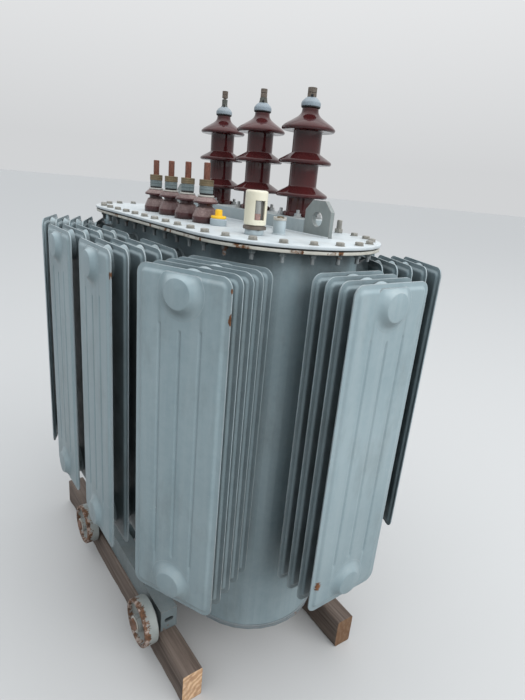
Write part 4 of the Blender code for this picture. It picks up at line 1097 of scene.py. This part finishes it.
def thermometer_pocket():
    x, y = POCKET_PLACE
    boss = points(0, 0, 218, 0, 218, 158, 208, 172, 198, 175, 0, 175)
    turned_piece("pocket_boss", boss, 56, (x, y, COVER_FOOT), FITTING_PAINT, "paint", "thermometer_pocket")
    cap = points(0, 0, 196, 0, 202, 8, 202, 52, 194, 64, 105, 67, 96, 74, 95, 90, 95, 200, 88, 218,
                 72, 227, 40, 227, 36, 221, 0, 221)
    turned_piece("pocket_plug", cap, 48, (x, y, COVER_FOOT + 0.0178), YELLOW, "yellow_plastic", "pocket_cap")


def box_trim():
    """Weld beads round the foot of the box and along the lugs."""
    bm = bmesh.new()
    runs = []
    for node in ("hv_box", "lifting_lug_near", "lifting_lug_far"):
        low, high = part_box(node)
        runs += [(low.x, y, high.x, y) for y in (low.y, high.y)]
        if node == "hv_box":
            runs += [(x, low.y, x, high.y) for x in (low.x, high.x)]
    for start_x, start_y, end_x, end_y in runs:
        start, end = Vector((start_x, start_y, COVER_TOP)), Vector((end_x, end_y, COVER_TOP))
        turn = (end - start).to_track_quat("Z", "Y").to_matrix().to_4x4()
        matrix = Matrix.Translation((start + end) / 2) @ turn
        bmesh.ops.create_cone(bm, cap_ends=True, segments=10, radius1=0.003, radius2=0.003,
                              depth=(end - start).length, matrix=matrix)
    add_piece("box_welds", bm, COVER_PAINT, "cover_paint", smooth=60.0)


# Rollers and timbers

def make_rollers():
    for end, side in ((1, -1), (1, 1), (-1, -1), (-1, 1)):
        name = f"{'near' if end > 0 else 'far'}_{'lv' if side < 0 else 'hv'}"
        turn = Matrix.Rotation(math.radians(-side * 90), 4, "X")
        bm = bmesh.new()
        wheel = add_turned(bm, ROLLER_SHAPE, ROLLER_STEPS, ring=True)
        for vert in wheel:
            radius = math.hypot(vert.co.x, vert.co.y)
            if radius > 0.066:
                spot = Vector((vert.co.x, vert.co.y, vert.co.z + 3 * end + side)) * 70.0
                worn = max(0.0, field.noise(spot)) * 0.001
                vert.co.x *= 1.0 - worn / radius
                vert.co.y *= 1.0 - worn / radius
        bm.transform(Matrix.Translation((end * ROLLER_X, side * ROLLER_Y, ROLLER_Z)) @ turn)
        add_piece(f"wheel_{name}", bm, ROLLER_PAINT, "roller_steel", f"roller_{name}",
                  body=f"{name}_roller", smooth=42.0)
        axle_end = Matrix.Translation((end * ROLLER_X, side * AXLE_WASHER_Y, ROLLER_Z)) @ turn
        bm = bmesh.new()
        add_prism(bm, 0.024, 0.0, 0.0026, 40, (0.0, 0.0), 0.0, 0.0004)
        bm.transform(axle_end)
        add_piece(f"axle_washer_{name}", bm, PALE_METAL, "roller_steel")
        bm = bmesh.new()
        add_prism(bm, 0.019, 0.0026, 0.0082, 6, (0.0, 0.0), 0.5 * side + end, 0.0012)
        tip = BEAM_EDGE - AXLE_WASHER_Y + 0.0008
        add_turned(bm, [(0.0, 0.002), (0.0134, 0.002), (0.0134, tip - 0.0008), (0.0126, tip), (0.0, tip)], 32)
        bm.transform(axle_end)
        add_piece(f"axle_nut_{name}", bm, RUSTY_STEEL, "roller_steel")


def make_timbers():
    """Sawn timbers with broken long edges and a slightly uneven surface."""
    half, wide, middle = TIMBER_HALF
    for name, seed, turn, place in TIMBERS:
        bm = bmesh.new()
        block = add_block(bm, (-half, -wide, 0.0), (half, wide, 2 * middle))
        long_edges = {edge for vert in block for edge in vert.link_edges
                      if abs(edge.verts[0].co.x - edge.verts[1].co.x) > half}
        bmesh.ops.bevel(bm, geom=list(long_edges), offset=0.0045, segments=3, profile=0.5,
                        affect="EDGES", material=-1)
        for number in range(1, TIMBER_SLICES):
            x = -half + 2 * half * number / TIMBER_SLICES
            cut_faces(bm, bm.faces[:], (x, 0.0, 0.0), (1.0, 0.0, 0.0))
        for z in (0.02, 0.04, 0.06, 0.08):
            cut_faces(bm, bm.faces[:], (0.0, 0.0, z), (0.0, 0.0, 1.0))
        for y in (-0.012, 0.0, 0.012):
            cut_faces(bm, bm.faces[:], (0.0, y, 0.0), (0.0, 1.0, 0.0))
        for vert in bm.verts:
            spot = Vector((vert.co.x * 9.0 + seed, vert.co.y * 40.0, vert.co.z * 40.0))
            across, rise = abs(vert.co.y), vert.co.z - middle
            pull = 0.0006 + 0.0006 * field.noise(spot)
            if across > wide - TIMBER_CORNER and abs(rise) > middle - TIMBER_CORNER:
                pull += 0.003 * max(0.0, field.noise(Vector((vert.co.x * 14.0 + seed, seed, vert.co.y * 9))))
            if vert.co.z > 0.001:
                vert.co.z -= math.copysign(pull, rise) * (abs(rise) > 0.04)
            vert.co.y -= math.copysign(pull, vert.co.y) * (across > wide - TIMBER_CORNER)
        bm.transform(Matrix.Translation((*place, 0.0)) @ Matrix.Rotation(math.radians(turn), 4, "Z"))
        add_piece(f"sawn_timber_{name}", bm, TIMBER, "timber", f"timber_{name}", smooth=50.0)


# Studio

def seen_directly(graph):
    """One for what the camera sees, also in a reflection or through glass."""
    path = graph.add("LightPath")
    return graph.most(path["Is Camera Ray"], path["Is Glossy Ray"], path["Is Transmission Ray"])


def add_floor():
    """A wide pale floor. It looks pale to the camera, and sends less light up under the object."""
    bm = bmesh.new()
    bmesh.ops.create_circle(bm, cap_ends=True, radius=80.0, segments=64)
    mesh = mesh_of("studio_floor", bm)
    skin = Finish("pale_floor", FLOOR_BELOW, 0.9)
    skin.cover(seen_directly(skin), FLOOR_SEEN)
    mesh.materials.append(skin.done())
    floor = add_object("studio_floor", mesh)
    floor.location.z = -0.0005


def add_lamp(name, place, target, size, power, mirrored=True):
    light = bpy.data.lights.new(name, "AREA")
    light.shape = "RECTANGLE"
    light.size, light.size_y = size
    light.energy = power
    lamp = add_object(name, light)
    lamp.location = place
    lamp.rotation_euler = (Vector(target) - Vector(place)).to_track_quat("-Z", "Y").to_euler()
    lamp.visible_glossy = mirrored


def add_studio():
    add_floor()
    add_lamp("sky_panel", (0.3, -0.2, 4.2), (0.0, 0.0, 0.6), (4.5, 4.5), SKY_POWER)
    add_lamp("end_panel", (10.2, 1.8, 6.0), (0.2, 0.0, 0.8), (14.0, 8.0), END_POWER, False)
    world = bpy.data.worlds.new("studio_sky")
    world.use_nodes = True
    graph = Graph(world.node_tree)
    background = graph.tree.nodes["Background"].inputs
    background["Strength"].default_value = SKY_STRENGTH
    height = graph.split(graph.add("TexCoord")["Generated"])["Z"]
    dome = graph.blend(graph.steps(height, 0.0, 0.6), SKY_LOW, SKY_HIGH)
    backdrop = graph.blend(graph.steps(height, 0.05, 0.6), BACKDROP, BACKDROP_TOP)
    graph.put(graph.blend(seen_directly(graph), dome, backdrop), background["Color"])
    bpy.context.scene.world = world


def add_camera():
    azimuth, pitch, roll = (math.radians(angle) for angle in (CAMERA_AZIMUTH, CAMERA_PITCH, CAMERA_ROLL))
    forward = Vector((-math.sin(azimuth) * math.cos(pitch), math.cos(azimuth) * math.cos(pitch),
                      -math.sin(pitch)))
    level = Vector((math.cos(azimuth), math.sin(azimuth), 0.0))
    above = level.cross(forward)
    right = level * math.cos(roll) + above * math.sin(roll)
    up = above * math.cos(roll) - level * math.sin(roll)
    lens = bpy.data.cameras.new("camera")
    lens.lens = SENSOR_LENGTH * FOCAL_PIXELS / PHOTO_HEIGHT
    lens.sensor_width = SENSOR_LENGTH
    lens.clip_start = 0.02
    camera = add_object("camera", lens)
    turn = Matrix((right, up, -forward)).transposed().to_4x4()
    camera.matrix_world = Matrix.Translation(CAMERA_PLACE) @ turn
    bpy.context.scene.camera = camera


add_camera()
add_studio()
finish_solids()
make_cover()
make_radiators()
hv_bushings()
lv_bushings()
oil_gauge()
filler_pipe()
thermometer_pocket()
box_trim()
make_rollers()
make_timbers()

bpy.context.scene.view_settings.view_transform = "Standard"
